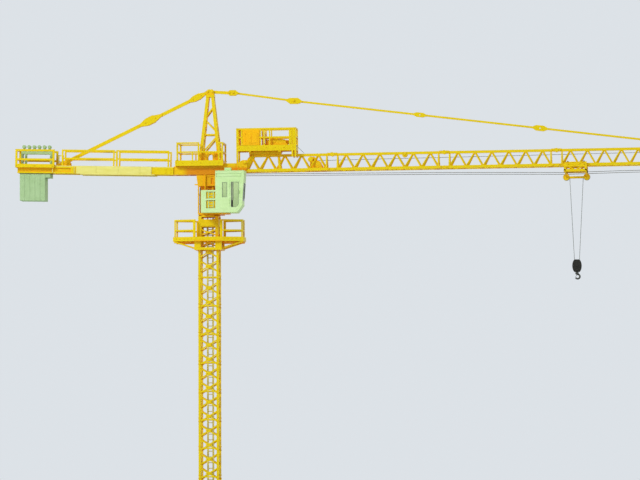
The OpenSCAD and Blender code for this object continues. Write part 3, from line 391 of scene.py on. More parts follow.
class Piece:
    """Gathers the faces of one piece that rides on a body."""

    def __init__(self, name, body, material=yellow, place=level):
        self.name, self.body, self.material, self.place = name, body, material, place
        self.bm = bmesh.new()

    def face(self, verts):
        try:
            self.bm.faces.new(verts)
        except ValueError:
            pass  # the same face is there already

    def rings(self, loops):
        """Skins a row of equal loops of points and closes both ends."""
        rows = [[self.bm.verts.new(self.place(*p)) for p in loop] for loop in loops]
        n = len(rows[0])
        for a, b in zip(rows, rows[1:]):
            for i in range(n):
                self.face((a[i], a[(i + 1) % n], b[(i + 1) % n], b[i]))
        self.face(list(reversed(rows[0])))
        self.face(rows[-1])

    def box(self, low, high, cut=0.12):
        """A block with cut edges."""
        (x0, y0, z0), (x1, y1, z1) = low, high
        cut = min(cut, (x1 - x0) / 3, (y1 - y0) / 3, (z1 - z0) / 3)

        def loop(z, inset):
            xa, xb, ya, yb = x0 + inset, x1 - inset, y0 + inset, y1 - inset
            return [(xa + cut, ya, z), (xb - cut, ya, z), (xb, ya + cut, z), (xb, yb - cut, z),
                    (xb - cut, yb, z), (xa + cut, yb, z), (xa, yb - cut, z), (xa, ya + cut, z)]
        self.rings([loop(z0, cut), loop(z0 + cut, 0), loop(z1 - cut, 0), loop(z1, cut)])

    def plate(self, outline, y0, y1, cut=0.12):
        """An outline in the XZ plane with a thickness and cut edges."""
        cx = sum(p[0] for p in outline) / len(outline)
        cz = sum(p[1] for p in outline) / len(outline)

        def loop(y, inset):
            out = []
            for x, z in outline:
                d = math.hypot(x - cx, z - cz) or 1
                out.append((x - (x - cx) / d * inset, y, z - (z - cz) / d * inset))
            return out
        self.rings([loop(y0, cut), loop(y0 + cut, 0), loop(y1 - cut, 0), loop(y1, cut)])

    def tube(self, points, radius, sides=8):
        """A round bar along points."""
        points = [Vector(p) for p in points]
        loops = []
        for i, p in enumerate(points):
            run = points[min(i + 1, len(points) - 1)] - points[max(i - 1, 0)]
            run.normalize()
            side = run.cross(AXES["y"] if abs(run.y) < 0.9 else AXES["x"]).normalized()
            up = run.cross(side)
            loops.append([tuple(p + (side * math.cos(a) + up * math.sin(a)) * radius)
                          for a in around(sides)])
        self.rings(loops)

    def bars(self, points, radius, sides=6):
        """Straight round bars from each point to the next."""
        for ends in zip(points, points[1:]):
            self.tube(ends, radius, sides)

    def turned(self, at, axis, profile, sides=24):
        """A shape turned about an axis: profile is pairs of distance along it and radius."""
        run = AXES[axis]
        side = AXES["z"] if axis != "z" else AXES["x"]
        up = run.cross(side)
        at = Vector(at)
        self.rings([[tuple(at + run * d + (side * math.cos(a) + up * math.sin(a)) * r)
                     for a in around(sides)] for d, r in profile])

    def bolt(self, at, axis, size, way=1):
        """A washer and a six-sided head with a cut top, standing on a face."""
        rise = way * size
        self.turned(at, axis, [(0, size * 0.72), (rise * 0.16, size * 0.72),
                               (rise * 0.2, size * 0.66)], 14)
        self.turned(at, axis, [(rise * 0.18, size * 0.5), (rise * 0.5, size * 0.5),
                               (rise * 0.6, size * 0.4)], 6)

    def side_bolts(self, places, out, size):
        """Bolts at places (x, z) on both sides, each on a face that lies out from the middle."""
        for s, (x, z) in product(SIDES, places):
            self.bolt((x, s * out, z), "y", size, s)

    def coil(self, centre, radius, wire, y0, y1, turns):
        """Rope wound on a drum that lies across the crane."""
        steps = 20
        n = turns * steps
        points = []
        for i in range(n + 1):
            a = 2 * math.pi * i / steps
            points.append((centre[0] + radius * math.cos(a), y0 + (y1 - y0) * i / n,
                           centre[1] + radius * math.sin(a)))
        self.tube(points, wire, 6)

    def rope(self, points, diameter, pitch):
        """Three strands laid round each other along a straight or bent line."""
        points = [Vector(p) for p in points]
        length = sum((b - a).length for a, b in zip(points, points[1:]))
        strands, lay = 3, 7  # lay is the steps in one turn of a strand
        steps = max(8, int(length / pitch * lay))
        line = []
        for i in range(steps + 1):
            left = length * i / steps
            for a, b in zip(points, points[1:]):
                run = (b - a).length
                if left <= run or b is points[-1]:
                    line.append(a.lerp(b, min(1, left / run)))
                    break
                left -= run
        for strand in range(strands):
            path = []
            for i, p in enumerate(line):
                a = 2 * math.pi * (i / lay + strand / strands)
                run = (line[min(i + 1, steps)] - line[max(i - 1, 0)]).normalized()
                side = run.cross(AXES["y"]).normalized()
                offset = side * math.cos(a) + AXES["y"] * math.sin(a)
                path.append(p + offset * diameter * 0.23)
            self.tube(path, diameter * 0.27, 5)

    def done(self, replaces=None):
        """Makes the object, and says what it rides on and stands for."""
        bmesh.ops.recalc_face_normals(self.bm, faces=self.bm.faces)
        bmesh.ops.scale(self.bm, vec=(MM, MM, MM), verts=self.bm.verts)
        mesh = bpy.data.meshes.new(self.name)
        self.bm.to_mesh(mesh)
        self.bm.free()
        mesh.materials.append(self.material)
        mesh.polygons.foreach_set("use_smooth", [True] * len(mesh.polygons))
        mesh.set_sharp_from_angle(angle=math.radians(35))
        obj = bpy.data.objects.new(self.name, mesh)
        scene.collection.objects.link(obj)
        if self.body:
            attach(obj, self.body)
        if replaces:
            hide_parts(replaces)
        return obj


# Mast

MAST_Z, SECTION, SECTIONS = 8, 28.35, 9
MAST_HALF, LEG_C = 10.2, 9.05  # the legs' outer faces and their middles
HALF_SECTIONS = 2 * SECTIONS
CROSS_LOW = 3.35  # from the foot of each half section to the middle of its cross
STILE_X, STILE_HALF = 2.65, 0.9  # the ladder's two stiles


def mast_bolts():
    """Splice bolts on the legs, below and above each joint between sections."""
    p = Piece("mast_bolts", "tower")
    size, from_joint = 0.8, 1.7
    for i in range(1, SECTIONS):
        z = MAST_Z + i * SECTION
        for sx, sy, dz in product(SIDES, SIDES, both(from_joint)):
            p.bolt((sx * LEG_C, sy * MAST_HALF, z + dz), "y", size, sy)
            p.bolt((sx * MAST_HALF, sy * LEG_C, z + dz), "x", size, sx)
    p.done()


def ladder_clips():
    """Two clips with a bolt in each half section, on the ladder's near face."""
    p = Piece("ladder_clips", "tower", cream)
    face, thick, half_height = 6.0, 0.25, 0.5
    for i in range(HALF_SECTIONS):
        z = MAST_Z + (i + 0.5) * SECTION / 2
        for x in both(STILE_X):
            p.box((x - STILE_HALF, face, z - half_height),
                  (x + STILE_HALF, face + thick, z + half_height), 0.06)
            p.bolt((x, face, z), "y", 0.5, -1)
    p.done()


def ladder_stiles():
    """Broad faces for the stiles, over the mast's whole height."""
    p = Piece("ladder_stiles", "tower", cream)
    z0, z1 = MAST_Z + 0.5, 290
    for x in both(STILE_X):
        p.box((x - STILE_HALF, 6.02, z0), (x + STILE_HALF, 6.3, z1), 0.06)
    p.done()


def cross_gussets():
    """A six-sided gusset where the bars of each cross meet, on the mast's four sides."""
    p = Piece("cross_gussets", "tower")
    tip, edge, half_height, bolt_x = 3.3, 1.3, 1.75, 1.5
    for i in range(HALF_SECTIONS):
        # The top section is the other way up
        middle = CROSS_LOW if i < HALF_SECTIONS - 2 else SECTION / 2 - CROSS_LOW
        z = MAST_Z + middle + i * SECTION / 2
        low, high = z - half_height, z + half_height
        outline = [(-tip, z), (-edge, high), (edge, high), (tip, z), (edge, low), (-edge, low)]
        for s in SIDES:
            y0, y1 = sided(s, 9.5, 9.9)
            p.plate(outline, y0, y1, 0.08)
            for x in both(bolt_x):
                p.bolt((x, s * 9.85, z), "y", 0.7, s)
            p.place = swapped
            p.plate(outline, y0, y1, 0.08)
            p.place = level
    p.done()


# Base

def foot_bolts():
    """Bolts round the feet, where the beams leave room for them, and along the beams."""
    p = Piece("foot_bolts", "tower")
    size, foot_reach, foot_top, beam_top, circle = 0.9, 50, 2, 8, 5.1
    beam_half, beam_end = 4.1, 53  # with room for a bolt's washer
    for degrees in (45, 135, 225, 315):
        c, s = math.cos(math.radians(degrees)), math.sin(math.radians(degrees))

        def on_beam(along, across, z):
            return (along * c - across * s, along * s + across * c, z)
        for k in range(6):
            a = math.radians(30 + 60 * k)
            along, across = foot_reach + circle * math.cos(a), circle * math.sin(a)
            if abs(across) > beam_half or along > beam_end:
                p.bolt(on_beam(along, across, foot_top), "z", size)
        for along, across in product((20, 30, 40), both(2)):
            p.bolt(on_beam(along, across, beam_top), "z", size)
    p.done()


def ballast_loops():
    """A lifting loop at each end of the two ballast blocks' top slabs."""
    p = Piece("ballast_loops", "tower", steel)
    block_x, loop_y, block_top, half_span, rise, steps = 21.7, 20, 28.8, 2.4, 2.2, 12
    for x, y in product(both(block_x), both(loop_y)):
        p.tube([(x, y + half_span * math.cos(a), block_top + rise * math.sin(a))
                for a in (math.pi * k / steps for k in range(steps + 1))], 0.45)
    p.done()


# Service platform

COLLAR_HALF, WING_END = 13.7, 35.5
MIDDLE_HALF, END_HALF = 17, 10
WING_TAPER = (MIDDLE_HALF - END_HALF) / (WING_END - COLLAR_HALF)
UNDER_FLOOR = 270.34


def wing_half(x):
    """Half the platform's width, which shrinks along a wing from the collar to its end."""
    return MIDDLE_HALF - (x - COLLAR_HALF) * WING_TAPER


def service_ribs():
    """Ribs under the wings' floor, and bolts along their slanting toe boards."""
    p = Piece("service_ribs", "tower")
    rib, from_edge, toe_middle = 0.4, 1.4, 272.6  # rib is half a rib's thickness
    for s in SIDES:
        for x in (17.5, 22, 26.5, 31):
            half = wing_half(x) - from_edge
            p.box((s * x - rib, -half, 269.2), (s * x + rib, half, UNDER_FLOOR), 0.1)
        for y in both(4.5):
            x0, x1 = sided(s, 14, 34.4)
            p.box((x0, y - rib, 269.4), (x1, y + rib, UNDER_FLOOR), 0.1)
        for way, x in product(SIDES, (16, 20, 24, 28, 32)):
            p.bolt((s * x, way * wing_half(x), toe_middle), "y", 0.7, way)
    p.done()


def service_floor_shade_and_channels():
    """A thin orange strip along the floor's edge under the toe boards, as painted shade, and
    channels under the wings' two edges.
    """
    p = Piece("service_floor_shade_and_channels", "tower", shaded_yellow)
    z0, z1 = 270.3, 271.5
    for s in SIDES:
        for wing in SIDES:
            # Painted shade: a thin strip just proud of the fascia, along the floor's edge
            y0, y1 = sided(s, 9.9, 10.12)
            x0, x1 = sided(wing, 14.2, WING_END)
            p.box((x0, y0, z0), (x1, y1, z1), 0.05)
            y0, y1 = sided(s, 8.4, 9.4)
            x0, x1 = sided(wing, 13.8, 34.3)
            p.box((x0, y0, 268.6), (x1, y1, 270.4), 0.12)
        # Painted shade along the collar's floor edge
        y0, y1 = sided(s, 16.9, 17.12)
        p.box((-COLLAR_HALF, y0, z0), (COLLAR_HALF, y1, z1), 0.05)
    p.done()


# Slewing ring, column and tower head

TOWER_X, DECK_TOP = 1.2, 350.95
TIE_TOP_X, TIE_TOP_Z = 2.3, 419.95  # the ties' upper pins, TIE_TOP_X from the tower's middle


def ring_bolts():
    """Bolts under the plate that closes the mast's top."""
    p = Piece("ring_bolts", "tower")
    circle, under_plate = 8.2, 294.65
    for a in around(20):
        p.bolt((circle * math.cos(a), circle * math.sin(a), under_plate), "z", 0.8, -1)
    p.done()


def tie_nuts():
    """Nuts on the ties' pins, and bolts in the plates at the tower head's foot."""
    p = Piece("tie_nuts", "upper_crane")
    for x, z, out, size in (
            (TOWER_X - TIE_TOP_X, TIE_TOP_Z, 2.4, 1.7), (TOWER_X + TIE_TOP_X, TIE_TOP_Z, 2.4, 1.7),
            (24.4, 418.85, 1.8, 1.6), (20.4, 418.85, 1.8, 1.6),
            (85.0, 410.24, 1.8, 1.6), (471.73, 363.45, 2.4, 1.6)):
        p.side_bolts([(x, z)], out, size)
    foot_plate = 9.4962
    for sx, sy in product(SIDES, SIDES):
        for dx, dz in ((5.2, 6.4), (7.2, 2.2), (7.2, 6.4)):
            p.bolt((TOWER_X + sx * dx, sy * foot_plate, DECK_TOP + dz), "y", 0.9, sy)
    p.done()


def column_conduit():
    """A conduit beside the column's ladder."""
    p = Piece("column_conduit", "upper_crane", steel)
    p.tube([(-8.4, -9.2, 299.2), (-8.4, -9.4, 306), (-8.4, -9.4, 318), (-8.0, -9.3, 324)], 0.4)
    p.done()


def rail_feet():
    """Feet with bolts under the hand rails' posts, and bolts along the slewing platform."""
    p = Piece("rail_feet", "upper_crane")
    half_length, half_width = 1.3, 0.75
    for x, y in product((-30.5, 14.6), both(14.25)):
        p.box((x - half_length, y - half_width, DECK_TOP - 0.01),
              (x + half_length, y + half_width, DECK_TOP + 0.4), 0.1)
        for dx in both(1.0):
            p.bolt((x + dx, y, DECK_TOP + 0.35), "z", 0.5)
    toe_middle, toe_face = 348.2, 15
    p.side_bolts([(x, toe_middle) for x in (-31.6, -25, -16, -7, 2, 11)], toe_face, 0.8)
    p.done()


def tie_cheeks():
    """Tapered cheeks over the two plates of the counter-jib's tie."""
    p = Piece("tie_cheeks", "upper_crane")
    top, foot = Vector((TOWER_X - TIE_TOP_X, 0, TIE_TOP_Z)), on_counter(ANCHOR_X, 0, ANCHOR_Z)
    run = (foot - top).normalized()
    across = Vector((-run.z, 0, run.x))
    for share, half, high in ((0.075, 10.5, 3.0), (0.397, 13, 3.7)):
        middle = top + (foot - top) * share
        outline = []
        for a, b in ((-half, 0.9), (-half * 0.25, high), (half * 0.35, high), (half, 0.9),
                     (half, -0.9), (half * 0.35, -high), (-half * 0.25, -high), (-half, -0.9)):
            corner = middle + run * a + across * b
            outline.append((corner.x, corner.z))
        for s in SIDES:
            p.plate(outline, *sided(s, 1.5, 2.05), 0.08)
            for a in (-half * 0.4, half * 0.45):
                at = middle + run * a
                p.bolt((at.x, s * 2.0, at.z), "y", 1.1, s)
    p.done()


# Cab. Its outlines are in the XZ plane, from the cab's lower left corner

WINDOW = [(7, 12), (11.6, 12), (11.6, 26.5), (7, 26.5)]
DOOR_CORNER = [(19.3 + 4 * math.sin(a), 6.1 - 4 * math.cos(a))
               for a in (math.radians(15 * k) for k in range(1, 7))]
DOOR = [(15.8, 2.1), (19.3, 2.1), *DOOR_CORNER, (23.3, 26.9), (15.8, 26.9)]
DOOR_EDGE = [(14.2, 0.7), (14.2, 28.6), (24.6, 28.6), (24.6, 6.2)]
HINGE_X, HANDLE_X = 14.2, 23.9


def cab_side(name, y, way):
    """The seals, the bare name strip and the door on one side of the cab, with painted shadow along
    the door's hinge edge: a dark strip, and a black sheet in the slit below it.
    """
    def proud(rise):
        return sided(1, y, y + way * rise)

    p = Piece("window_seals_" + name, "upper_crane", rubber, on_cab)
    for outline in (WINDOW, DOOR):
        p.bars([(x, y + way * 0.02, z) for x, z in outline + outline[:1]], 0.2)
    p.done()

    p = Piece("cab_trim_" + name, "upper_crane", white, on_cab)
    y0, y1 = proud(0.22)
    left, right, low, high, width = 0.9, 25.8, 32.3, 35.55, 0.35
    for z in (low, high - width):
        p.box((left, y0, z), (right, y1, z + width), 0.06)
    for x in (left, right - width):
        p.box((x, y0, low), (x + width, y1, high), 0.06)
    p.bars([(x, y, z) for x, z in DOOR_EDGE], 0.16)
    for z in (6, 22):
        hinge_y = y + way * 0.15
        p.tube([(HINGE_X, hinge_y, z), (HINGE_X, hinge_y, z + 2.2)], 0.42, 10)
    handle_y = y + way * 0.8
    p.tube([(HANDLE_X, y, 15.5), (HANDLE_X, handle_y, 15.6), (HANDLE_X, handle_y, 17.6),
            (HANDLE_X, y, 17.7)], 0.22)
    p.done()

    recess = y - way * 0.4
    # Painted shadow: a dark strip set in along the door's hinge edge
    p = Piece("door_edge_shadow_" + name, "upper_crane", edge_shadow, on_cab)
    y0, y1 = sided(1, recess, recess + way * 0.25)
    p.box((15.9, y0, 8.8), (18.1, y1, 26.8), 0.05)
    p.done()

    # Painted shade: a black sheet in the slit below the strip
    p = Piece("door_slit_" + name, "upper_crane", black, on_cab)
    y0, y1 = sided(1, recess, recess + way * 0.27)
    p.box((16.0, y0, 2.3), (17.6, y1, 8.8), 0.05)
    p.done()


def cab_sides():
    cab_side("near", CAB_NEAR, -1)
    cab_side("far", CAB_FAR, 1)


def windscreen_seal():
    """The windscreen's seal, and a wiper on its pivot."""
    p = Piece("windscreen_seal", "upper_crane", rubber, on_screen)
    near, far, low, high = CAB_NEAR + 2, CAB_FAR - 2, 3.5, 18.5
    corners = [(near, low), (far, low), (far, high), (near, high), (near, low)]
    p.bars([(-0.1, y, z) for y, z in corners], 0.24)
    p.tube([(0.1, -21, 3.2), (0.25, -19.5, 8), (0.1, -17.6, 14.5)], 0.2, 6)
    p.turned((0, -21, 3.0), "x", [(-0.2, 0.7), (0.3, 0.7), (0.45, 0.4)], 12)
    p.done()


def windscreen_foot():
    """The windscreen's glass, dark here with painted shade, goes on a little below its seal."""
    p = Piece("windscreen_foot", "upper_crane", glass, on_screen)
    p.box((-0.4, CAB_NEAR + 2, 0.9), (0.1, CAB_FAR - 2, 3.4), 0.08)
    p.done()


def cab_chin():
    """The cab's slanted lower corner, run on down past the floor."""
    p = Piece("cab_chin", "upper_crane", white, on_cab)
    outline = [(20.9, 0.5), (26.95, 7.6), (27.0, 3.7), (21.7, -3.35), (16, -3.35), (16, 0.5)]
    p.plate(outline, CAB_NEAR + 0.02, CAB_FAR - 0.02, 0.1)
    p.done()


def gallery_hatch():
    """A yellow plate with four panels, which closes the gallery's openings from behind."""
    p = Piece("gallery_hatch", "upper_crane", yellow, on_cab)
    p.box((-10.0, -29.5, 0.1), (-0.05, -29.1, 17.9), 0.06)
    for (z0, z1), (x0, x1) in product(((2.0, 8.2), (11.2, 16.8)), ((-8.9, -5.2), (-4.6, -0.9))):
        p.box((x0, -29.75, z0), (x1, -29.45, z1), 0.12)
    p.done()


def gallery_ladder():
    """The pale ladder in front of the hatch."""
    p = Piece("gallery_ladder", "upper_crane", white, on_cab)
    left, right, y = -6.9, -1.9, -30.0
    for x in (left, right):
        p.tube([(x, y, 0.6), (x, y, 17.9)], 0.4)
    for k in range(6):
        z = 2.2 + k * 2.9
        p.tube([(left, y, z), (right, y, z)], 0.28, 6)
    p.done()


def cab_gutter():
    """Gutters along the roof's two edges, and two bars across it."""
    p = Piece("cab_gutter", "upper_crane", white, on_cab)
    for y in (CAB_NEAR, CAB_FAR):
        p.tube([(0.3, y, 37.9), (28.6, y, 37.9)], 0.28, 6)
    for x in (3, 26.5):
        p.box((x, CAB_NEAR + 2, 38.28), (x + 0.8, CAB_FAR - 2, 38.75), 0.1)
    p.done()


# Counter-jib

def board_joints():
    """Joint strips on the cream side boards."""
    p = Piece("board_joints", "upper_crane", cream, on_counter)
    half_width = 0.35
    for x, s in product((-122, -100, -78, -56, -34), SIDES):
        y0, y1 = sided(s, 11.8, 11.977)
        p.box((x - half_width, y0, 0.6), (x + half_width, y1, 7.2), 0.05)
    p.done()


def guard_gate():
    """The pale gate beside the counterweights' guard."""
    p = Piece("guard_gate", "upper_crane", cream, on_counter)
    for x in (-119.4, -114.9):
        p.box((x, 9.6, 7.79), (x + 1.0, 10.6, 19.6), 0.15)
    for z in (12.4, 18.6):
        p.box((-118.6, 9.75, z), (-114.7, 10.45, z + 1.0), 0.15)
    p.done()


def counter_bolts():
    """Bolts at the counter-jib's root, along the guard and on the tie's bracket."""
    p = Piece("counter_bolts", "upper_crane", place=on_counter)
    size = 0.9
    p.side_bolts(product((-8, -3), (2, 5)), 11, size)
    p.side_bolts(product((-158.5, -140, -121.5), (7.2,)), 13.5, size)
    p.side_bolts(((-115.2, 9.3), (-107.5, 9.0)), 2.4, size)
    p.done()


def anchor_cheeks():
    """Cheeks over the bracket that holds the tie."""
    p = Piece("anchor_cheeks", "upper_crane", place=on_counter)
    outline = [(-120.5, 7.8), (-117, 10.2), (-112.5, 13.2), (-107, 13.4), (-105, 10.5),
               (-105, 7.8)]
    for s in SIDES:
        p.plate(outline, *sided(s, 2.9, 3.5), 0.1)
        for x, z, size in ((ANCHOR_X, ANCHOR_Z, 1.5), (-117, 8.9, 0.8), (-107, 9.0, 0.8)):
            p.bolt((x, s * 3.45, z), "y", size, s)
    p.done()


def weight_slings():
    """The round slings that the slabs hang in, one over each slab."""
    p = Piece("weight_slings", "upper_crane", casting, on_counter)
    first, pitch = -155.2, 5.13
    for i in range(6):
        p.turned((first + (i + 0.5) * pitch, -2.3, 26.8), "y",
                 [(0, 1.0), (0.3, 1.35), (4.3, 1.35), (4.6, 1.0)], 16)
    p.done()


# Jib

BAY, JOINT = 16.78, 10.9
FIRST_BAYS, BAYS, JOINTS = 5, 6, 4
ROPE_PITCH = 3.2


def jib_pins():
    """Pins in the bottom chords at the joints between sections, and bolts in the top chord."""
    p = Piece("jib_pins", "upper_crane", place=on_jib)
    chord_face, pin_face, top_face, top_z = 10.3, 10.85, 1.8, 15.0
    for i in range(JOINTS):
        x = FIRST_BAYS * BAY + JOINT / 2 + i * (BAYS * BAY + JOINT)
        for s in SIDES:
            for dx in both(3.1):
                p.turned((x + dx, s * chord_face, 0), "y",
                         [(0, 1.3), (s * 0.45, 1.3), (s * 0.6, 1.1)], 18)
                p.bolt((x + dx, s * pin_face, 0), "y", 0.8, s)
            for dx in both(3.6):
                p.bolt((x + dx, s * top_face, top_z), "y", 0.9, s)
    p.done()


def foot_pins():
    """The jib's foot pins, and bolts in the plates that hold them."""
    p = Piece("foot_pins", "upper_crane")
    for s in SIDES:
        p.turned((37.1, s * 12.2, 348.75), "y", [(0, 1.3), (s * 0.5, 1.3), (s * 0.7, 1.0)], 18)
        for x, z in ((30.2, 341.4), (30.2, 344.6), (34.6, 341.6), (34.6, 344.8)):
            p.bolt((x, s * 11.6, z), "y", 0.9, s)
    p.done()


def tip_sheave_rim():
    """Rims and hubs on both faces of the sheave at the jib's end."""
    p = Piece("tip_sheave_rim", "upper_crane", place=on_jib)
    for s in SIDES:
        p.turned((502.66, s, 0), "y",
                 [(0, 3.0), (s * 0.4, 3.0), (s * 0.4, 2.3), (s * 0.15, 2.2), (s * 0.15, 0.9),
                  (s * 0.6, 0.9), (s * 0.7, 0.7)], 28)
    p.done()


def jib_rope_strands():
    """Two hoist ropes under the jib, the trolley rope inside it, and one over the guard."""
    p = Piece("jib_rope_strands", "upper_crane", rope_grey, on_jib)
    upper = [(-2, 0, -2.7), (200, 0, -4.9), (325, 0, -7.3), (380, 0, -6.4), (497.66, 0, -6.1)]
    for drop in (0, 1.8):
        p.rope([(x, y, z - drop) for x, y, z in upper], 0.62, ROPE_PITCH)
    p.rope([(75.3, 0, 9.3), (481.66, 0, 11.8)], 0.6, ROPE_PITCH)
    p.rope([(54.2, -9.2, 24.2), (61.2, -1.2, 16.9)], 0.5, 3)
    p.done("jib_ropes")


def rope_guide():
    """A grooved roller with two cheeks, under the top chord."""
    p = Piece("rope_guide", "upper_crane", place=on_jib)
    p.turned((161.8, -1.3, 13.5), "y",
             [(0, 2.2), (0.3, 2.7), (0.8, 2.8), (1.1, 2.2), (1.5, 2.2), (1.8, 2.8), (2.3, 2.7),
              (2.6, 2.2)], 26)
    for s in SIDES:
        p.plate([(160.7, 12.4), (162.9, 12.4), (163.4, 15.6), (160.2, 15.6)],
                *sided(s, 1.25, 1.75), 0.1)
        p.bolt((161.8, s * 1.7, 13.4), "y", 1.1, s)
    p.done()


def trolley_winch_motor():
    """The trolley winch's drum-shaped motor on two pairs of legs."""
    p = Piece("trolley_winch_motor", "upper_crane", place=on_jib)
    x, z = 67.6, 10.6
    p.turned((x, -3.4, z), "y",
             [(0, 1.8), (0.3, 2.6), (1.2, 2.7), (1.5, 2.2), (5.3, 2.2), (5.6, 2.7), (6.5, 2.6),
              (6.8, 1.8)], 24)
    for y in both(2.0):
        p.tube([(x, y, z), (72.4, y, 5.6)], 0.8)
        p.tube([(x, y, z), (67.4, y, 2.2)], 0.6)
    p.done()


# What stands on the winch platform. DECK is its floor, in the jib's frame

DECK = 25.1
DRUM_X = 31.5


def drum_ropes():
    """Rope wound on the hoist winch's drum."""
    p = Piece("drum_ropes", "upper_crane", rope_grey, on_jib)
    p.coil((DRUM_X, DECK + 4.6), 3.45, 0.27, -4.0, 4.0, 15)
    p.done()


def winch_detail():
    """The drum's bearings, bolts along its frame, and a motor with cooling ribs."""
    p = Piece("winch_detail", "upper_crane", place=on_jib)
    bearing_z = DECK + 3.6
    for s in SIDES:
        p.turned((DRUM_X, s * 6.1, bearing_z), "y", [(0, 1.5), (s * 0.5, 1.5), (s * 0.6, 1.2)],
                 20)
        p.bolt((DRUM_X, s * 6.55, bearing_z), "y", 1.0, s)
        for x in (24.4, 28, 36, 41):
            p.bolt((x, s * 6.1, DECK + 2.4), "y", 0.8, s)
    p.turned((43.9, -3.6, DECK + 3.2), "y", [(0, 1.6), (0.3, 1.9), (6.9, 1.9), (7.2, 1.6)], 22)
    for k in range(6):
        y = -2.8 + k * 1.1
        p.box((42.0, y, DECK + 1.5), (45.8, y + 0.3, DECK + 5.2), 0.08)
    p.done()


def guard_stile():
    """A broad stile at the guard's corner beside the cabinet."""
    p = Piece("guard_stile", "upper_crane", place=on_jib)
    p.box((-1.0, -10.12, DECK), (0.8, -9.3, DECK + 16.2), 0.12)
    for z in (3, 8.5, 14):
        p.bolt((-0.1, -10.1, DECK + z), "y", 0.8, -1)
    p.done()


def on_deck(outline):
    return [(x, DECK + z) for x, z in outline]


def cabinet_front():
    """The cabinet comes forward to the guard, with two doors under a sloping head."""
    p = Piece("cabinet_front", "upper_crane", orange, on_jib)
    p.box((0.8, -10.16, DECK + 0.05), (17.6, -5.4, DECK + 16.0), 0.25)
    frame_outline = [(3.4, 1.6), (16.4, 1.6), (16.4, 12.4), (9.5, 14.2), (3.4, 13.2)]
    p.plate(on_deck(frame_outline), -10.4, -10.05, 0.12)
    for door in ([(4.4, 2.6), (9.6, 2.6), (9.6, 12.8), (4.4, 12.2)],
                 [(10.6, 2.6), (15.4, 2.6), (15.4, 11.4), (10.6, 12.6)]):
        p.plate(on_deck(door), -10.6, -10.3, 0.12)
    x, y, out = 9.0, -10.55, -10.95
    p.tube([(x, y, DECK + 6.5), (x, out, DECK + 6.8), (x, out, DECK + 8.4), (x, y, DECK + 8.7)],
           0.18, 6)
    for z in (4, 10.5):
        p.tube([(3.6, -10.45, DECK + z), (3.6, -10.45, DECK + z + 1.6)], 0.3)
    p.done()


def cabinet_doors():
    """Doors with vents and handles on the cabinet's own faces, under the roof's edge."""
    p = Piece("cabinet_doors", "upper_crane", orange, on_jib)
    for s in SIDES:
        for x in (2.6, 9.6):
            y0, y1 = sided(s, 5.0, 5.35)
            p.box((x + 0.5, y0, DECK + 2.6), (x + 5.5, y1, DECK + 14.4), 0.15)
            y0, y1 = sided(s, 5.3, 5.5)
            for k in range(4):
                z = DECK + 11.2 + k * 0.7
                p.box((x + 1.2, y0, z), (x + 4.8, y1, z + 0.3), 0.05)
            handle_x, y, out = x + 4.9, s * 5.3, s * 5.7
            p.tube([(handle_x, y, DECK + 7), (handle_x, out, DECK + 7.3),
                    (handle_x, out, DECK + 8.9), (handle_x, y, DECK + 9.2)], 0.16, 6)
        y0, y1 = sided(s, 5.2, 5.75)
        p.box((1.0, y0, DECK + 16.2), (17.8, y1, DECK + 17.0), 0.15)
    p.done()


def guard_bolts():
    """Bolts on the guard's posts, and along the platform's edge below it."""
    p = Piece("guard_bolts", "upper_crane", place=on_jib)
    places = [*product((-4.5, 22.2, 48.5, 52.4), (1.6, 8.2, 15.6)),
              *product((-3, 6, 15, 24, 33, 42, 51), (-2.6,))]
    p.side_bolts(on_deck(places), 10, 0.8)
    p.done()


# Trolley, hoist rope, hook block and hook

PLATE_IN, PLATE_OUT = 11.95, 13.55  # the faces of the trolley's side plates
SHEAVE_X, SHEAVE_Z = 10.1, -12
SHEAVE_MID = 331.637  # the sheaves' height in the crane's frame
TROLLEY_MIDDLE = -0.6


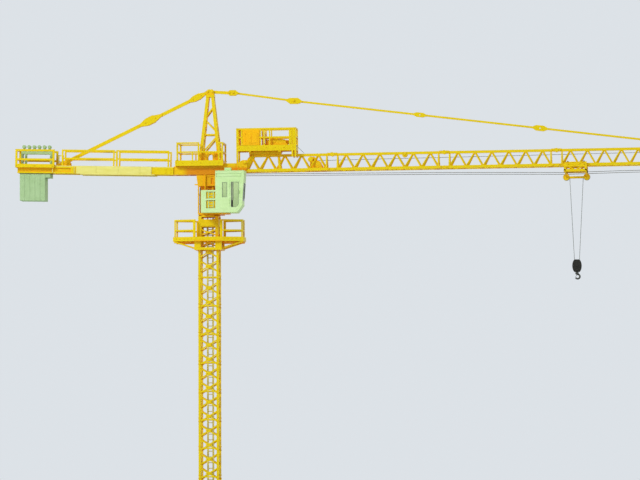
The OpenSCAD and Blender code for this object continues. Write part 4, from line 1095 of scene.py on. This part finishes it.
def trolley_side_frames():
    """Side frames with a plate, a V brace and arms, for the plainer frame in the source."""
    p = Piece("trolley_side_frames", "trolley", trolley_yellow, on_trolley)
    for s in SIDES:
        y0, y1 = sided(s, PLATE_IN, PLATE_OUT)
        p.plate([(-12.2, -2.3), (10.8, -2.3), (10.8, 2.6), (-9.8, 2.6), (-12.2, 0.4)], y0, y1,
                0.15)
        for x in (-12.0, 8.6):
            p.box((x, y0, -7.7), (x + 2.2, y1, -2.1), 0.2)
        p.box((-12.0, y0, -7.2), (10.8, y1, -4.6), 0.2)
        middle_y = s * (PLATE_IN + PLATE_OUT) / 2
        for end in SIDES:
            x = end * 6.6 + TROLLEY_MIDDLE
            p.tube([(x, middle_y, -2.4), (TROLLEY_MIDDLE, middle_y, -5.6)], 0.75)
            x = end * SHEAVE_X
            p.tube([(x, middle_y, -6.6), (x, middle_y, -8.0), (x, s * 2.2, -11.2)], 0.95)
            p.turned((x, s * 1.5, SHEAVE_Z), "y",
                     [(0, 3.0), (s * 0.12, 3.2), (s * 0.9, 3.2), (s * 1.0, 2.9), (s * 1.0, 2.3),
                      (s * 0.75, 2.2), (s * 0.75, 1.1), (s * 1.3, 1.0), (s * 1.4, 0.8)], 30)
            p.bolt((x, s * 2.85, SHEAVE_Z), "y", 0.9, s)
        y0, y1 = sided(s, 1.5, 2.3)
        p.box((-SHEAVE_X, y0, -13.2), (SHEAVE_X, y1, -11.2), 0.15)
        left, foot, right = (-9.4, 1.9), (TROLLEY_MIDDLE, -1.5), (8.4, 1.9)
        for a, b in ((left, foot), (foot, right), (left, right)):
            p.tube([(a[0], s * PLATE_OUT, a[1]), (b[0], s * PLATE_OUT, b[1])], 0.28, 6)
        for x in both(8):
            p.bolt((x, s * PLATE_OUT, 0.2), "y", 1.5, s)
        for x in (-10.9, 9.7):
            p.bolt((x, s * PLATE_OUT, -6.5), "y", 1.0, s)
    for x in (-12.2, 9.8):
        p.box((x, -PLATE_IN - 0.1, -2.15), (x + 1.0, PLATE_IN + 0.1, -1.55), 0.1)
    for x in both(SHEAVE_X):
        p.tube([(x, -1.6, SHEAVE_Z), (x, 1.6, SHEAVE_Z)], 0.7, 12)
    p.done("trolley_frame")


def sheave_rims():
    """Dark rims on the trolley's sheaves, behind their yellow faces."""
    p = Piece("sheave_rims", "trolley", black, on_trolley)
    for x, s in product(both(SHEAVE_X), SIDES):
        p.turned((x, s * 0.9, SHEAVE_Z), "y",
                 [(0, 3.12), (s * 0.2, 3.35), (s * 0.42, 3.35), (s * 0.45, 2.9)], 30)
    p.done()


def hoist_falls():
    """The two falls of the hoist rope, from the trolley's sheaves down to the hook block."""
    p = Piece("hoist_falls", None, rope_grey)
    for s in SIDES:
        p.rope([(TROLLEY_X + s * 6.7, 0, SHEAVE_MID), (TROLLEY_X + s * 2.5, 0, HOOK_Z + 0.2)],
               0.62, ROPE_PITCH)
    falls = p.done()
    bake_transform(falls)
    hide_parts("hoist_ropes")


def hook_block_body():
    """Two barrel-shaped cheeks over a sheave, with tie bolts and the swivel's yoke."""
    p = Piece("hook_block_body", "hook_block", black, on_block)
    half_width, height, reach, steps = 4.6, 12.4, 0.6, 16
    right = []
    for k in range(steps + 1):
        t = k / steps  # 0 at the top and 1 at the foot; an oval that reaches past both
        right.append((half_width * math.sqrt(1 - ((t - 0.5) / reach) ** 2), -height * t))
    cheek = right + [(-x, z) for x, z in reversed(right)]
    pin_z = -6.2
    for s in SIDES:
        p.plate(cheek, *sided(s, 1.3, 2.4), 0.3)
        for z, size in ((-2.6, 0.9), (pin_z, 1.3), (-10.2, 0.9)):
            p.bolt((0, s * 2.35, z), "y", size, s)
        for x, z in product(both(2.6), (-3.6, -9.4)):
            p.bolt((x, s * 2.35, z), "y", 0.7, s)
    p.turned((0, -1.0, pin_z), "y",
             [(0, 4.1), (0.25, 4.2), (0.8, 3.5), (1.2, 3.5), (1.75, 4.2), (2.0, 4.1)], 32)
    for z in (-1.2, -10.6):
        p.box((-2.7, -1.35, z - 0.9), (2.7, 1.35, z + 0.9), 0.15)
    for s in SIDES:
        x0, x1 = sided(s, 1.15, 2.4)
        p.box((x0, -2.3, -12.5), (x1, 2.3, -10.4), 0.15)
    p.done("hook_block")


def hook_latch():
    """The nut on the hook's shank and the latch across its mouth."""
    p = Piece("hook_latch", "hook", steel, on_block)
    p.turned((0, 0, -14.1), "z", [(-0.9, 1.0), (-0.7, 1.45), (0.0, 1.5), (0.2, 1.2)], 6)
    p.tube([(0.1, -0.5, -14.9), (-1.0, -0.3, -16.4), (-1.5, 0, -17.7)], 0.22, 6)
    p.done()


for make in (
        mast_bolts, ladder_clips, foot_bolts, ballast_loops, service_ribs, ring_bolts, tie_nuts,
        column_conduit, cab_sides, windscreen_seal, windscreen_foot, cab_chin, gallery_hatch,
        gallery_ladder, cab_gutter, rail_feet, cross_gussets, ladder_stiles, service_floor_shade_and_channels,
        tie_cheeks, board_joints, guard_gate, counter_bolts, anchor_cheeks, weight_slings,
        jib_pins, foot_pins, tip_sheave_rim, jib_rope_strands, rope_guide, trolley_winch_motor,
        drum_ropes, winch_detail, guard_stile, cabinet_front, cabinet_doors, guard_bolts,
        trolley_side_frames, sheave_rims, hoist_falls, hook_block_body, hook_latch):
    make()


# Camera, at the photograph's viewing angle

FOCUS, DISTANCE = Vector((0.1106, 0, 0.2713)), 5.0
AZIMUTH, ELEVATION, ROLL = math.radians(5.56), math.radians(-2.91), math.radians(-0.17)
SENSOR, FOCAL_PIXELS, PHOTO_WIDTH = 36, 5027, 640

back = Vector((math.sin(AZIMUTH) * math.cos(ELEVATION), -math.cos(AZIMUTH) * math.cos(ELEVATION),
               math.sin(ELEVATION)))
camera_data = bpy.data.cameras.new("camera")
camera_data.sensor_width = SENSOR
camera_data.lens = FOCAL_PIXELS * SENSOR / PHOTO_WIDTH
camera_data.clip_start, camera_data.clip_end = 0.1, 60
camera = bpy.data.objects.new("camera", camera_data)
scene.collection.objects.link(camera)
camera.matrix_world = Matrix.Translation(FOCUS + back * DISTANCE) @ (
    (-back).to_track_quat("-Z", "Y").to_matrix().to_4x4() @ Matrix.Rotation(ROLL, 4, "Z"))
scene.camera = camera


# Floor, background and light

BACKGROUND = (0.72, 0.76, 0.8, 1)
FLOOR_COLOUR = (0.72, 0.74, 0.76, 1)
FLOOR_HALF = 12
FADE_FROM, FADE_TO = 0.5, 1.7  # metres from the mast, over which the floor fades


def floor_material():
    """Pale and plain by the crane, and fading into the background away from it."""
    t = Tree("floor")
    t.surface(FLOOR_COLOUR, 0.85)
    distance = t.node("VectorMath", {0: t.place}, operation="LENGTH").outputs["Value"]
    fade = t.times(t.ramp(distance, FADE_FROM, FADE_TO), t.seen_directly())
    glow = t.node("Emission", {"Color": BACKGROUND})
    blend = t.node("MixShader", {0: fade, 1: t.shader.outputs[0], 2: glow.outputs[0]})
    t.link(blend.outputs[0], t.nodes["Material Output"].inputs["Surface"])
    return t.material


floor_mesh = bpy.data.meshes.new("floor")
floor_mesh.from_pydata([(x * FLOOR_HALF, y * FLOOR_HALF, 0)
                        for x, y in ((-1, -1), (1, -1), (1, 1), (-1, 1))], [], [(0, 1, 2, 3)])
floor_mesh.materials.append(floor_material())
floor = bpy.data.objects.new("floor", floor_mesh)
scene.collection.objects.link(floor)


def area_light(name, place, target, size, power, colour=(1, 1, 1)):
    data = bpy.data.lights.new(name, "AREA")
    data.shape = "DISK"
    data.size = size
    data.energy = power
    data.color = colour
    obj = bpy.data.objects.new(name, data)
    obj.location = place
    obj.rotation_euler = (Vector(target) - Vector(place)).to_track_quat("-Z", "Y").to_euler()
    scene.collection.objects.link(obj)


area_light("key", (-1.3, -1.8, 1.7), (0.05, 0, 0.3), 0.8, 36, (1, 0.99, 0.95))
area_light("fill", (1.9, -1.9, 0.6), (0.1, 0, 0.3), 1.6, 8)
area_light("rim", (0.4, 2.0, 1.6), (0.1, 0, 0.3), 1.4, 16)

world = bpy.data.worlds.new("world")
scene.world = world
world.use_nodes = True
sky = Nodes(world.node_tree)
lit = sky.nodes["Background"]
lit.inputs["Color"].default_value = (0.95, 0.97, 1, 1)
lit.inputs["Strength"].default_value = 0.46
seen = sky.node("Background", {"Color": BACKGROUND, "Strength": 1})
pick = sky.node("MixShader", {0: sky.seen_directly(), 1: lit.outputs[0], 2: seen.outputs[0]})
sky.link(pick.outputs[0], sky.nodes["World Output"].inputs["Surface"])

scene.view_settings.view_transform = "Standard"
